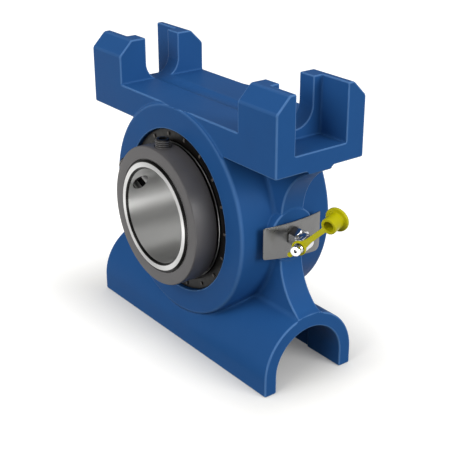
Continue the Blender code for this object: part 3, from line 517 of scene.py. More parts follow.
# Moulded nitrile rubber: near black with a brown cast and a fine moulded grain, with a painted highlight on
# the ribs where they stand out of the seal's face
rubber = {
    "darkTone": "#0E0D0C",
    "lightTone": "#161412",
    "ribHighlightTone": "#55514D",
    "ribFoot": 32.9,
    "ribTop": 33.4,
    "smooth": 0.36,
    "rough": 0.5,
    "metallic": 0.0,
    "specular": 0.2,
    "mottleSize": 3.0,
    "grainSize": 0.5,
    "grainDepth": 0.02,
    "grainStrength": 0.3,
    "grainDetail": 2.0,
    "grainWay": (1, 1, 1),
}
nitrileRubber, tree, shader, _, centred = newMaterial("mouldedNitrileRubber", rubber)
along = addNode(tree, "ShaderNodeSeparateXYZ", inputs={0: centred}).outputs[1]
outwards = addNode(tree, "ShaderNodeMath", {"operation": "ABSOLUTE"}, {0: along}).outputs[0]
# Painted highlight on the ribs, rising from their foot to their top
standing = addNode(
    tree,
    "ShaderNodeMapRange",
    inputs={"Value": outwards, "From Min": rubber["ribFoot"] * mm, "From Max": rubber["ribTop"] * mm},
).outputs["Result"]
toned(tree, shader, standing, rubber["ribHighlightTone"])

# Spring steel strip, rolled bright, for the flingers, the snap ring and the nipple's spring
strip = {
    "colour": "#A9A9A7",
    "roughness": 0.3,
    "metallic": 1.0,
    "lineSize": 0.5,
    "lineDepth": 0.003,
    "lineStrength": 0.3,
}
springStrip = newMaterial("brightRolledSpringSteel", strip)[0]

# Bright nickel plating over machined steel: a mirror with slight unevenness in its gloss
plating = {
    "darkTone": "#BFC0C3",
    "lightTone": "#D6D7D9",
    "smooth": 0.13,
    "rough": 0.24,
    "metallic": 1.0,
    "mottleSize": 1.8,
}
brightPlating = newMaterial("brightNickelPlating", plating)[0]

# Stainless sheet with a fine brushed grain along the strip, drawn about three times too coarse
sheet = {
    "darkTone": "#646464",
    "lightTone": "#777777",
    "smooth": 0.24,
    "rough": 0.36,
    "metallic": 0.85,
    "mottleSize": 7.0,
    "grainSize": 0.35,
    "grainDepth": 0.006,
    "grainStrength": 0.25,
    "grainDetail": 3.0,
    "grainWay": (1, 0.04, 1),
}
brushedSheet = newMaterial("brushedStainlessSheet", sheet)[0]

# Moulded polyethylene: waxy yellow, with a faint grain from the mould
wax = {
    "darkTone": "#ACA704",
    "lightTone": "#BCB605",
    "smooth": 0.32,
    "rough": 0.42,
    "metallic": 0.0,
    "specular": 0.15,
    "mottleSize": 5.0,
    "grainSize": 0.8,
    "grainDepth": 0.02,
    "grainStrength": 0.25,
    "grainDetail": 2.0,
    "grainWay": (1, 1, 1),
}
yellowPolyethylene = newMaterial("mouldedYellowPolyethylene", wax)[0]

finishes = {
    "blue_paint": paintedCasting,
    "ground_steel": groundSteel,
    "bearing_steel": bearingSteel,
    "blackened_steel": blackenedCollar,
    "black_screw": blackOxide,
    "cage_steel": pressedSheet,
    "seal_rubber": nitrileRubber,
    "spring_steel": springStrip,
    "plated_steel": brightPlating,
    "stainless_sheet": brushedSheet,
    "yellow_plastic": yellowPolyethylene,
}
for row in frame["record"]["subparts"]:
    for materialSlot in frame["nodes"][row["node"]].material_slots:
        materialSlot.material = finishes[row["material_slot"]]
print("made", len(finishes), "finishes")


# Housing, one casting

casting = {
    "beamLength": 196.5,
    "beamWidth": 67.0,
    "beamUnderside": 144.0,
    "beamTop": 163.0,
    "lugTop": 191.5,
    "lugLength": 35.1,
    "lugChamfer": 9.5,
    "pocketDepth": 22.5,
    "pocketWidth": 39.0,
    "pocketFloor": 155.4,
    "slotRadius": 13.0,
    "slotHeight": 174.5,
    "barrelRadius": 70.0,
    "barrelLength": 70.4,
    "barrelEdge": 2.4,
    "openingRadius": 53.7,
    "seatRadius": 60.3,
    "seatStart": -15.8,
    "grooveRadius": 62.3,
    "grooveMiddle": 17.1,
    "grooveWidth": 2.6,
    "archLength": 188.0,
    "archRadius": 35.3,
    "archHeight": 11.2,
    "tunnelRadius": 26.3,
    "tunnelRelief": 1.3,
    "reliefLength": 126.0,
    "webThickness": 17.5,
    "webWaist": 74.8,
    "waistTop": 107.0,
    "waistBottom": 80.0,
    "upperSweep": 38.0,
    "lowerSweep": 41.4,
    "bossRadius": 17.3,
    "bossFace": 75.2,
    "greaseThread": 3.3,
    "greaseThreadStart": 65.2,
    "greasePassage": 1.8,
    "edge": 1.0,  # rounding of the casting's outer edges
    "cutEdge": 0.6,  # rounding of the pockets and the slot
    "fillet": 2.6,  # rounding where barrel, web, beam and arch meet
    "webSink": 6.0,  # how far a web runs into the beam and the arch
    "bossSink": 10.0,  # how far the boss runs into the barrel
    "gridStep": 0.62,
    "quickGridStep": 1.3,
    "gridMargins": (2.3, 2.1, 2.17, 2.2),  # past the ends, the sides, the foot and the lugs
    "slopeReach": 0.05,
    "bendReach": 0.2,
    "leastSlope": 0.3,  # keeps the way back onto the skin short where the field is flat
    "mostShift": 0.3,
    "mostTriangles": 186000,
}


def softMax(first, second, width):
    # The greater of two fields, with the crease between them rounded over a width
    return np.maximum(first, second) + np.maximum(width - np.abs(first - second), 0) ** 2 / (4 * width)


def softMin(first, second, width):
    return -softMax(-first, -second, width)


def castingField(x, y, z):
    # Roughly the distance in millimetres outside the casting's skin, negative inside the iron
    sizes = casting
    edge = sizes["edge"]
    fillet = sizes["fillet"]
    shaft = bearingCentre.z / mm
    sideX, sideY = np.abs(x), np.abs(y)
    fromShaft = np.hypot(x, z - shaft)

    # Beam with a lug at each end
    end = sizes["beamLength"] / 2
    stepped = softMin(z - sizes["beamTop"], end - sizes["lugLength"] - sideX, edge)
    beam = softMax(stepped, z - sizes["lugTop"], edge)
    beam = softMax(beam, sizes["beamUnderside"] - z, edge)
    beam = softMax(beam, sideX - end, edge)
    slant = (sideY + z - sizes["beamWidth"] / 2 - sizes["lugTop"] + sizes["lugChamfer"]) / math.sqrt(2)
    side = softMax(sideY - sizes["beamWidth"] / 2, slant, edge)
    beam = softMax(beam, side, edge)
    pocket = softMax(end - sizes["pocketDepth"] - sideX, sideY - sizes["pocketWidth"] / 2, edge)
    pocket = softMax(pocket, sizes["pocketFloor"] - z, edge)
    beam = softMax(beam, -pocket, sizes["cutEdge"])

    # Barrel, then the slot that runs along the top of both
    barrel = fromShaft - sizes["barrelRadius"]
    barrel = softMax(barrel, sideY - sizes["barrelLength"] / 2, sizes["barrelEdge"])
    body = softMin(beam, barrel, edge)
    body = np.maximum(body, stepped)  # the barrel's crown is planed off with the beam
    above = np.maximum(z - sizes["slotHeight"], 0)
    slot = np.where(above > 0, sideY, np.hypot(sideY, z - sizes["slotHeight"])) - sizes["slotRadius"]
    body = softMax(body, -slot, sizes["cutEdge"])

    # Arch over the tunnel, relieved in its middle
    overArch = z > sizes["archHeight"]
    spread = np.where(overArch, np.hypot(sideY, z - sizes["archHeight"]), sideY + 0 * z)
    tunnel = spread - sizes["tunnelRadius"]
    relief = softMax(tunnel - sizes["tunnelRelief"], sideX - sizes["reliefLength"] / 2, edge)
    tunnel = softMin(tunnel, relief, edge / 3)
    arch = softMax(spread - sizes["archRadius"], sideX - sizes["archLength"] / 2, edge)
    arch = softMax(arch, -tunnel, edge)
    arch = softMax(arch, -z, edge)
    body = softMin(body, arch, fillet)

    # Web at each end, waisted between two sweeps
    fromWaist = sideX - sizes["webWaist"]
    upper = sizes["upperSweep"] - np.hypot(fromWaist - sizes["upperSweep"], z - sizes["waistTop"])
    lower = sizes["lowerSweep"] - np.hypot(fromWaist - sizes["lowerSweep"], z - sizes["waistBottom"])
    waist = np.where(z < sizes["waistBottom"], lower, fromWaist)
    waist = np.where(z > sizes["waistTop"], upper, waist)
    web = softMax(waist, sideY - sizes["webThickness"] / 2, edge)
    foot = sizes["archHeight"] + sizes["archRadius"] - sizes["webSink"]
    web = np.maximum(web, np.maximum(z - sizes["beamUnderside"] - sizes["webSink"], foot - z))
    body = softMin(body, web, fillet)
    ends = np.where(z > shaft, sideX - end, sideX - sizes["archLength"] / 2)
    body = np.maximum(body, ends)

    # Grease boss on the right web
    fromBoss = np.hypot(y, z - shaft)
    boss = softMax(fromBoss - sizes["bossRadius"], x - sizes["bossFace"], edge)
    boss = np.maximum(boss, sizes["barrelRadius"] - sizes["bossSink"] - x)
    body = softMin(body, boss, edge / 2)

    # Bearing seat with its front opening, the groove of the snap ring, and the grease hole
    seat = np.maximum(fromShaft - sizes["seatRadius"], sizes["seatStart"] - y)
    groove = np.maximum(
        fromShaft - sizes["grooveRadius"], np.abs(y - sizes["grooveMiddle"]) - sizes["grooveWidth"] / 2
    )
    hollow = np.minimum(np.minimum(fromShaft - sizes["openingRadius"], seat), groove)
    body = softMax(body, -hollow, edge / 1.5)
    thread = np.maximum(fromBoss - sizes["greaseThread"], sizes["greaseThreadStart"] - x)
    passage = np.maximum(fromBoss - sizes["greasePassage"], sizes["openingRadius"] - x)
    return np.maximum(body, -np.minimum(thread, passage))


def meshOfField(name, field, low, high, step):
    # Puts one vertex in each grid cell that the skin passes through and joins neighbours by quads
    axes = [np.arange(start, stop + step, step) for start, stop in zip(low, high)]
    counts = [len(axis) for axis in axes]
    values = np.empty(counts, np.float32)
    for number, place in enumerate(axes[0]):
        values[number] = field(place, axes[1][:, None], axes[2][None, :])
    inside = values < 0
    corners = [(a, b, c) for a in (0, 1) for b in (0, 1) for c in (0, 1)]
    filled = np.zeros([count - 1 for count in counts], np.uint8)
    for a, b, c in corners:
        filled += inside[a : counts[0] - 1 + a, b : counts[1] - 1 + b, c : counts[2] - 1 + c]
    cells = np.argwhere((filled > 0) & (filled < 8))
    known = [values[cells[:, 0] + a, cells[:, 1] + b, cells[:, 2] + c] for a, b, c in corners]
    total = np.zeros((len(cells), 3))
    hits = np.zeros(len(cells))
    for first in range(8):
        for second in range(first + 1, 8):
            start, stop = np.array(corners[first]), np.array(corners[second])
            if np.abs(stop - start).sum() != 1:
                continue
            crosses = (known[first] < 0) != (known[second] < 0)
            gap = np.where(crosses, known[first] - known[second], 1)
            share = np.where(crosses, known[first] / gap, 0)
            total += np.where(crosses[:, None], start + share[:, None] * (stop - start), 0)
            hits += crosses
    verts = np.array(low) + (cells + total / hits[:, None]) * step
    numbers = np.full(filled.shape, -1, np.int32)
    numbers[tuple(cells.T)] = np.arange(len(cells))
    quads = []
    for axis in range(3):
        nextU, nextV = np.eye(3, dtype=int)[(axis + 1) % 3], np.eye(3, dtype=int)[(axis + 2) % 3]
        start = np.take(inside, range(counts[axis] - 1), axis)
        stop = np.take(inside, range(1, counts[axis]), axis)
        for leaves in (True, False):
            found = np.argwhere(start & ~stop if leaves else stop & ~start)
            around = [found - nextU - nextV, found - nextV, found, found - nextU]
            if not leaves:
                around.reverse()
            quads.append(np.stack([numbers[tuple(cell.T)] for cell in around], 1))
    quads = np.concatenate(quads)
    mesh = bpy.data.meshes.new(name)
    mesh.vertices.add(len(verts))
    mesh.vertices.foreach_set("co", verts.ravel())
    mesh.loops.add(quads.size)
    mesh.loops.foreach_set("vertex_index", quads.ravel().astype(np.int32))
    mesh.polygons.add(len(quads))
    mesh.polygons.foreach_set("loop_start", np.arange(0, quads.size, 4, dtype=np.int32))
    mesh.update(calc_edges=True)
    return mesh


def slopeOf(field, points):
    parts = []
    for axis in range(3):
        nudge = np.zeros(3)
        nudge[axis] = casting["slopeReach"]
        parts.append(field(*(points + nudge).T) - field(*(points - nudge).T))
    return np.stack(parts, 1) / (2 * casting["slopeReach"])


gridStep = casting["gridStep"]
pastEnds, pastSides, pastFoot, pastLugs = casting["gridMargins"]
reachX, reachY = casting["beamLength"] / 2 + pastEnds, casting["archRadius"] + pastSides
low = (-reachX, -reachY, -pastFoot)
high = (reachX, reachY, casting["lugTop"] + pastLugs)
castMesh = meshOfField("castHousing", castingField, low, high, gridStep)
share = casting["mostTriangles"] / (2 * len(castMesh.polygons))
if share < 1:
    castMesh = modified(castMesh, ("DECIMATE", {"ratio": share}))
points = np.empty(len(castMesh.vertices) * 3)
castMesh.vertices.foreach_get("co", points)
points = points.reshape(-1, 3)
for _ in range(2):  # thinning moves vertices a little, so they go back onto the skin
    slope = slopeOf(castingField, points)
    length = np.maximum((slope**2).sum(1), casting["leastSlope"])
    shift = np.clip(castingField(*points.T) / length, -casting["mostShift"], casting["mostShift"])
    points = points - slope * shift[:, None]
slope = slopeOf(castingField, points)
normals = slope / np.linalg.norm(slope, axis=1)[:, None]
bend = np.zeros(len(points))
for axis in range(3):  # the spread of the normals around each vertex is how sharply the skin bends there
    nudge = np.zeros(3)
    nudge[axis] = casting["bendReach"]
    for sign in (1, -1):
        near = slopeOf(castingField, points + sign * nudge)
        bend += sign * near[:, axis] / np.linalg.norm(near, axis=1) / (2 * casting["bendReach"])
castMesh.attributes.new("bend", "FLOAT", "POINT").data.foreach_set("value", bend.astype(np.float32))
castMesh.vertices.foreach_set("co", points.ravel())
castMesh.transform(footPlace @ Matrix.Scale(mm, 4))
castMesh.shade_smooth()
castMesh.normals_split_custom_set_from_vertices(normals)
addPiece("castHousing", castMesh, paintedCasting, "housing", "housing")


# Inner ring, collar, flingers and seals, all turned about the shaft

shaftPlace = placeAlong(bearingCentre, yAxis)
shaftSteps = 192
screwSteps = 48
screwAlong = -43.2
screws = [
    # name, node, body, angle round the shaft, height of the top over the middle of the shaft
    ("setScrewTop", "set_screw_top", "top_screw", 90, 50.7),
    ("setScrewSide", "set_screw_side", "side_screw", 155, 52.0),
]

ring = {
    "bore": 30.95,
    "outside": 37.0,
    "front": -52.6,
    "rear": 38.0,
    "boreChamfer": 1.4,
    "outerChamfer": 1.5,
    "corner": 0.12,
    "screwHole": 5.7,
    "pitchRadius": 47.5,
    "rowOffset": 8.6,
    "rollerRadius": 7.6,
    "rollerReach": 5.5,
    "crown": 107.5,
    "trackSteps": 8,
    "trackCorner": 0.3,
    "landRadius": 42.1,
    "landWidth": 2.6,
    "width": 31.0,
}
slope = math.atan2(ring["rowOffset"], ring["pitchRadius"])
track = []
for step in range(ring["trackSteps"] + 1):  # each roller track is hollow, as the barrel rollers ask
    along = ring["rollerReach"] * (2 * step / ring["trackSteps"] - 1)
    under = along * along / ring["crown"] - ring["rollerRadius"]
    radius = ring["pitchRadius"] - along * math.sin(slope) + under * math.cos(slope)
    track.append((radius, ring["rowOffset"] + along * math.cos(slope) + under * math.sin(slope), 0))
half = ring["width"] / 2
rearHalf = [(ring["landRadius"], ring["landWidth"] / 2, 0)] + track
rearHalf += [(track[-1][0], half, ring["trackCorner"]), (ring["outside"], half, 0)]
frontHalf = [(radius, -along, corner) for radius, along, corner in reversed(rearHalf)]
corner = ring["corner"]
outline = [
    (ring["bore"], ring["rear"] - ring["boreChamfer"], corner),
    (ring["bore"], ring["front"] + ring["boreChamfer"], corner),
    (ring["bore"] + ring["boreChamfer"], ring["front"], corner),
    (ring["outside"] - ring["outerChamfer"], ring["front"], corner),
    (ring["outside"], ring["front"] + ring["outerChamfer"], corner),
]
outline += frontHalf + rearHalf
outline += [
    (ring["outside"], ring["rear"] - ring["outerChamfer"], corner),
    (ring["outside"] - ring["outerChamfer"], ring["rear"], corner),
    (ring["bore"] + ring["boreChamfer"], ring["rear"], corner),
]
ringMesh = turnedMesh("innerRing", softened(outline, steps=2), shaftSteps, shaftPlace)
hole = rodProfile(ring["screwHole"], ring["bore"] - overrun, ring["outside"] + overrun)
for *_, angle, _ in screws:
    ringMesh = withTurned(ringMesh, "DIFFERENCE", hole, screwSteps, radialPlace(angle, screwAlong))
addPiece("innerRing", smoothShaded(ringMesh, 25), groundSteel, "shaft_set", "inner_ring")

collar = {
    "inside": 37.3,
    "outside": 45.7,
    "front": -51.4,
    "rear": -35.2,
    "edge": 0.8,
    "rearCorner": 0.3,
    "frontCorner": 0.4,
    "hole": 5.2,
    "countersink": 0.5,
    "countersinkDepth": 1.1,
}
outline = [
    (collar["inside"], collar["rear"], collar["rearCorner"]),
    (collar["inside"], collar["front"], collar["frontCorner"]),
    (collar["outside"], collar["front"], collar["edge"]),
    (collar["outside"], collar["rear"], collar["edge"]),
]
collarMesh = turnedMesh("lockingCollar", softened(outline), shaftSteps, shaftPlace)
wide = collar["hole"] + collar["countersink"]
start = collar["outside"] - collar["countersinkDepth"]
hole = [
    (0, collar["inside"] - overrun),
    (collar["hole"], collar["inside"] - overrun),
    (collar["hole"], start),
    (wide, start + collar["countersink"]),
    (wide, collar["outside"] + overrun),
    (0, collar["outside"] + overrun),
]
for *_, angle, _ in screws:
    collarMesh = withTurned(collarMesh, "DIFFERENCE", hole, screwSteps, radialPlace(angle, screwAlong))
addPiece("lockingCollar", smoothShaded(collarMesh), blackenedCollar, "shaft_set", "collar")

flinger = {"inside": 37.3, "outside": 45.3, "face": 33.4, "thickness": 1.0, "edge": 0.3}
for name, node, side in (("frontFlinger", "front_flinger", -1), ("rearFlinger", "rear_flinger", 1)):
    start, end = side * flinger["face"], side * (flinger["face"] - flinger["thickness"])
    outline = [
        (flinger["inside"], start, 0),
        (flinger["inside"], end, 0),
        (flinger["outside"], end, flinger["edge"]),
        (flinger["outside"], start, flinger["edge"]),
    ]
    flingerMesh = smoothShaded(turnedMesh(name, softened(outline), shaftSteps, shaftPlace))
    addPiece(name, flingerMesh, springStrip, "shaft_set", node)

seal = {
    "frontOutside": 53.4,
    "rearOutside": 60.0,
    "face": 32.7,
    "stepRadius": 46.3,
    "step": 31.0,
    "lipRoot": 41.0,
    "lip": 38.0,
    "lipPlace": 29.5,
    "lipWidth": 1.5,
    "back": 26.5,
    "corner": 0.5,
    "fineCorner": 0.3,
    "ribCount": 18,
    "ribCircle": 50.2,
    "ribLength": 2.4,
    "ribWidth": 1.7,
    "ribHeight": 1.5,
    "ribRounding": 2,
    "ribCrease": 0.55,
}


def startedTree(name, kinds):
    # Returns a node tree with named inputs, the inputs' identifiers by name, and their sockets
    tree = bpy.data.node_groups.new(name, "GeometryNodeTree")
    identifiers = {}
    for label, kind in kinds.items():
        socket = tree.interface.new_socket(label, in_out="INPUT", socket_type="NodeSocket" + kind)
        identifiers[label] = socket.identifier
    tree.interface.new_socket("Geometry", in_out="OUTPUT", socket_type="NodeSocketGeometry")
    return tree, identifiers, addNode(tree, "NodeGroupInput").outputs


def endTree(tree, shape, height, finish):
    # Lifts a tree's shape, makes its copies real, gives it its finish and hands it out
    lift = addNode(tree, "ShaderNodeCombineXYZ", inputs={2: height}).outputs[0]
    lifted = addNode(tree, "GeometryNodeTransform", inputs={"Geometry": shape, "Translation": lift})
    real = addNode(tree, "GeometryNodeRealizeInstances", inputs={"Geometry": lifted.outputs[0]})
    real = real.outputs[0]
    covered = addNode(tree, "GeometryNodeSetMaterial", inputs={"Geometry": real, "Material": finish})
    addNode(tree, "NodeGroupOutput", inputs={0: covered.outputs[0]})


def grownMesh(name, tree, identifiers, values, place):
    # Runs a tree on an empty object and returns its result as a plain mesh in its place
    carrier = linkedObject(name, bpy.data.meshes.new(name))
    modifier = carrier.modifiers.new(name, "NODES")
    modifier.node_group = tree
    for key, value in values.items():
        modifier[identifiers[key]] = value
    mesh = settledMesh(carrier)
    mesh.transform(place @ Matrix.Scale(mm, 4))
    return mesh


# Moulded ribs on a circle: each is a small block, rounded by subdivision and turned outwards
ribKinds = {
    "Count": "Int",
    "Circle radius": "Float",
    "Rib size": "Vector",
    "Face height": "Float",
    "Finish": "Material",
}
ribTree, ribInputs, given = startedTree("ribCircle", ribKinds)
circle = addNode(
    ribTree, "GeometryNodeMeshCircle", inputs={"Vertices": given["Count"], "Radius": given["Circle radius"]}
)
block = addNode(ribTree, "GeometryNodeMeshCube", inputs={"Size": given["Rib size"]})
pillow = addNode(
    ribTree,
    "GeometryNodeSubdivisionSurface",
    inputs={"Mesh": block.outputs["Mesh"], "Level": seal["ribRounding"], "Edge Crease": seal["ribCrease"]},
)
here = addNode(ribTree, "GeometryNodeInputPosition").outputs[0]
outwards = addNode(
    ribTree, "FunctionNodeAlignRotationToVector", {"axis": "X", "pivot_axis": "Z"}, {"Vector": here}
)
ribs = addNode(
    ribTree,
    "GeometryNodeInstanceOnPoints",
    inputs={"Points": circle.outputs[0], "Instance": pillow.outputs[0], "Rotation": outwards.outputs[0]},
)
endTree(ribTree, ribs.outputs[0], given["Face height"], given["Finish"])

for name, node, side in (("frontSeal", "front_seal", -1), ("rearSeal", "rear_seal", 1)):
    outside = seal["frontOutside"] if side < 0 else seal["rearOutside"]
    corner, fine = seal["corner"], seal["fineCorner"]
    outline = [
        (outside, side * seal["face"], corner),
        (seal["stepRadius"], side * seal["face"], corner),
        (seal["stepRadius"], side * seal["step"], fine),
        (seal["lipRoot"], side * seal["step"], corner),
        (seal["lip"], side * seal["lipPlace"], fine),
        (seal["lip"], side * (seal["lipPlace"] - seal["lipWidth"]), fine),
        (seal["lipRoot"], side * seal["back"], corner),
        (outside, side * seal["back"], fine),
    ]
    sealMesh = turnedMesh(name, softened(outline, steps=3), shaftSteps, shaftPlace)
    if side < 0:
        ribSizes = {
            "Count": seal["ribCount"],
            "Circle radius": seal["ribCircle"],
            "Rib size": (seal["ribLength"], seal["ribWidth"], seal["ribHeight"]),
            "Face height": side * seal["face"],
            "Finish": nitrileRubber,
        }
        sealMesh = joined(name, sealMesh, grownMesh("ribs", ribTree, ribInputs, ribSizes, shaftPlace))
    addPiece(name, smoothShaded(sealMesh), nitrileRubber, "housing", node)


# Set screws with a cut thread and a hexagon socket

screw = {
    "radius": 4.9,
    "length": 16.0,
    "pitch": 1.27,
    "turnSteps": 40,
    "coreSkin": 0.05,  # how far the core stands over the root line of the thread
    "chamfer": 0.9,
    "chamferShare": 0.6,  # of the chamfer, down to the core
    "rimRound": (0.15, 0.1),
    "point": 1.6,
    "pointTaper": 1.1,
    "socketFlats": 5.0,
    "socketDepth": 5.5,
    "socketPoint": 1.0,
    "socketEdge": 0.25,
    "highlightFrom": 0.3,  # share of the thread's height where the painted highlight starts
}

# A ridge of diamond section that climbs in a helix, so half of it stands out of the core
threadKinds = {
    "Turns": "Float",
    "Core radius": "Float",
    "Thread length": "Float",
    "Ridge radius": "Float",
    "Start height": "Float",
    "Finish": "Material",
}
threadTree, threadInputs, given = startedTree("screwThread", threadKinds)
helix = addNode(
    threadTree,
    "GeometryNodeCurveSpiral",
    inputs={
        "Resolution": screw["turnSteps"],
        "Rotations": given["Turns"],
        "Start Radius": given["Core radius"],
        "End Radius": given["Core radius"],
        "Height": given["Thread length"],
    },
)
upright = addNode(threadTree, "GeometryNodeSetCurveNormal", {"mode": "Z_UP"}, {"Curve": helix.outputs[0]})
diamond = addNode(
    threadTree, "GeometryNodeCurvePrimitiveCircle", inputs={"Resolution": 4, "Radius": given["Ridge radius"]}
)
swept = addNode(
    threadTree,
    "GeometryNodeCurveToMesh",
    inputs={"Curve": upright.outputs[0], "Profile Curve": diamond.outputs[0], "Fill Caps": True},
)
endTree(threadTree, swept.outputs[0], given["Start height"], given["Finish"])


def hexagonRadius(flats):
    # Distance from the axis to a hexagon's side, as a function of the angle
    def reach(angle):
        return flats / 2 / math.cos((angle % (math.pi / 3)) - math.pi / 6)

    return reach


ridge = screw["pitch"] / 2
core = screw["radius"] - ridge
socket = hexagonRadius(screw["socketFlats"])
socketRim = hexagonRadius(screw["socketFlats"] + 2 * screw["socketEdge"])
rim = screw["radius"] - screw["chamfer"]
screwProfile = [
    (0, -screw["socketDepth"] - screw["socketPoint"]),
    (socket, -screw["socketDepth"]),
    (socket, -screw["socketEdge"]),
    (socketRim, 0),
    (rim - screw["rimRound"][0], 0),
    (rim, -screw["rimRound"][1]),
    (core + screw["coreSkin"], -screw["chamfer"] * screw["chamferShare"]),
    (core + screw["coreSkin"], screw["point"] - screw["length"]),
    (core - screw["pointTaper"], -screw["length"]),
    (0, -screw["length"]),
]
threadLength = screw["length"] - screw["chamfer"] - screw["point"]
threadSizes = {
    "Turns": threadLength / screw["pitch"],
    "Core radius": core,
    "Thread length": threadLength,
    "Ridge radius": ridge,
    "Start height": screw["point"] - screw["length"],
    "Finish": blackOxide,
}
for name, node, body, angle, top in screws:
    place = radialPlace(angle, screwAlong) @ Matrix.Translation((0, 0, top * mm))
    screwMesh = turnedMesh(name, screwProfile, screwSteps, place, closed=False)
    screwMesh = joined(name, screwMesh, grownMesh("thread", threadTree, threadInputs, threadSizes, place))
    smoothShaded(screwMesh, 28)
    backwards = place.inverted()
    # The crest share carries the painted highlight on the thread
    crests = []
    for vert in screwMesh.vertices:  # how far each vertex stands out of the core, as a share of the ridge
        standing = ((backwards @ vert.co).xy.length / mm - core) / ridge
        crests.append(max(0, standing - screw["highlightFrom"]) / (1 - screw["highlightFrom"]))
    screwMesh.attributes.new("crest", "FLOAT", "POINT").data.foreach_set("value", crests)
    addPiece(name, screwMesh, blackOxide, body, node)


# Tag plate, bent over the grease boss

tag = {
    "halfWidth": 22.6,
    "top": 103.8,
    "bottomFront": 83.2,
    "bottomRear": 77.6,
    "thickness": 0.7,
    "bendRadius": 100.0,
    "bendSteps": 60,
    "sharpCorner": 0.4,
    "smallCorner": 1.5,
    "largeCorner": 4.0,
    "hole": 3.6,
    "edge": 0.14,
    "gap": 0.3,
    "boss": 15.8,
}


def tagBend(across):
    return tag["bendRadius"] - math.sqrt(tag["bendRadius"] ** 2 - across**2)


tagFace = casting["bossFace"] + tag["gap"] + tagBend(tag["boss"])
outline = softened(
    [
        (tag["halfWidth"], tag["top"], tag["sharpCorner"]),
        (-tag["halfWidth"], tag["top"], tag["smallCorner"]),
        (-tag["halfWidth"], tag["bottomFront"], tag["smallCorner"]),
        (tag["halfWidth"], tag["bottomRear"], tag["largeCorner"]),
    ]
)
# An outline placed sideways lies in YZ, with its thickness along X
sideways = Matrix(((0, 0, 1, 0), (1, 0, 0, 0), (0, 1, 0, 0), (0, 0, 0, 1)))
axisPlace = radialPlace(0, 0)
tagMesh = prismMesh("tagPlate", outline, tagFace, tagFace + tag["thickness"], footPlace @ sideways)
hole = rodProfile(tag["hole"], tagFace - overrun, tagFace + overrun)
tagMesh = withTurned(tagMesh, "DIFFERENCE", hole, screwSteps, axisPlace)
tagMesh = modified(tagMesh, ("BEVEL", {"width": tag["edge"] * mm, "segments": 2, "limit_method": "ANGLE"}))
shape = bmesh.new()
shape.from_mesh(tagMesh)
for step in range(1, tag["bendSteps"]):
    place = bearingCentre + yAxis * tag["halfWidth"] * (2 * step / tag["bendSteps"] - 1) * mm
    everything = shape.verts[:] + shape.edges[:] + shape.faces[:]
    bmesh.ops.bisect_plane(shape, geom=everything, plane_co=place, plane_no=yAxis)
for vert in shape.verts:
    vert.co.x -= tagBend((vert.co.y - bearingCentre.y) / mm) * mm
shape.to_mesh(tagMesh)
shape.free()
addPiece("tagPlate", smoothShaded(tagMesh), brushedSheet, "housing", "tag_plate")


# Grease nipple with its elbow, hexagon and ball

nipple = {
    "hexFlats": 11.0,
    "hexLength": 6.5,
    "rearChamfer": (0.2, 0.55),  # across the flats, and along the bar
    "frontChamfer": (0.5, 0.75),
    "barSkin": 0.02,
    "turn": 65.0,
    "elbow": 10.1,
    "elbowRadius": 4.6,
    "elbowSink": 2.0,
    "elbowSteps": 12,
    "shank": 3.0,
    "shankEnd": 65.2,
    "shankSink": 1.0,
    "shoulder": 4.3,
    "shoulderEnd": 8.5,
    "shoulderCorner": 0.6,
    "neck": 3.1,
    "neckEnd": 11.9,
    "neckCorners": (0.2, 0.25),
    "waist": 2.2,
    "waistPlace": 13.0,
    "waistCorner": 0.5,
    "head": 3.2,
    "headStart": 13.9,
    "headEnd": 15.9,
    "headFace": 3.0,
    "headCorner": 0.3,
    "reach": 16.3,
    "mouth": 0.9,
    "mouthChamfer": 0.25,
    "mouthDepth": 1.2,
    "faceCorner": 0.12,
    "mouthCorner": 0.1,
    "chamber": 1.5,
    "chamberEnd": 9.3,
    "chamberPoint": 0.5,
    "valveSeat": 0.6,
    "ball": 1.2,
    "ballSteps": 16,
    "edge": 0.12,
    "edgeAngle": 28,
    "barSteps": 72,
    "shankSteps": 36,
    "headSteps": 64,
}
turn = math.radians(nipple["turn"])
nippleWay = Vector((math.cos(turn), -math.sin(turn), 0))
hexBase = tagFace + tag["thickness"] + tag["gap"]
hexEnd = hexBase + nipple["hexLength"]
elbowEnd = hexBase + nipple["elbow"]
nipplePivot = Vector((bearingCentre.x + elbowEnd * mm, bearingCentre.y, bearingCentre.z))
nipplePlace = placeAlong(nipplePivot, nippleWay)

# The hexagon is cut from a bar whose ends are chamfered, which leaves arcs on its flats
flat = nipple["hexFlats"] / 2
corner = flat / math.cos(math.pi / 6)
hexOutline = []
for step in range(6):
    angle = math.pi * step / 3
    hexOutline.append((corner * math.sin(angle), corner * math.cos(angle)))
hexMesh = prismMesh("hexagon", hexOutline, hexBase, hexEnd, footPlace @ sideways)
hexMesh.transform(Matrix.Translation((0, 0, bearingCentre.z)))
skin = corner + nipple["barSkin"]
bar = [
    (0, hexBase),
    (flat - nipple["rearChamfer"][0], hexBase),
    (skin, hexBase + nipple["rearChamfer"][1]),
    (skin, hexEnd - nipple["frontChamfer"][1]),
    (flat - nipple["frontChamfer"][0], hexEnd),
    (0, hexEnd),
]
nippleMesh = withTurned(hexMesh, "INTERSECT", bar, nipple["barSteps"], axisPlace)
shank = rodProfile(nipple["shank"], nipple["shankEnd"], hexBase + nipple["shankSink"])
nippleMesh = withTurned(nippleMesh, "UNION", shank, nipple["shankSteps"], axisPlace)

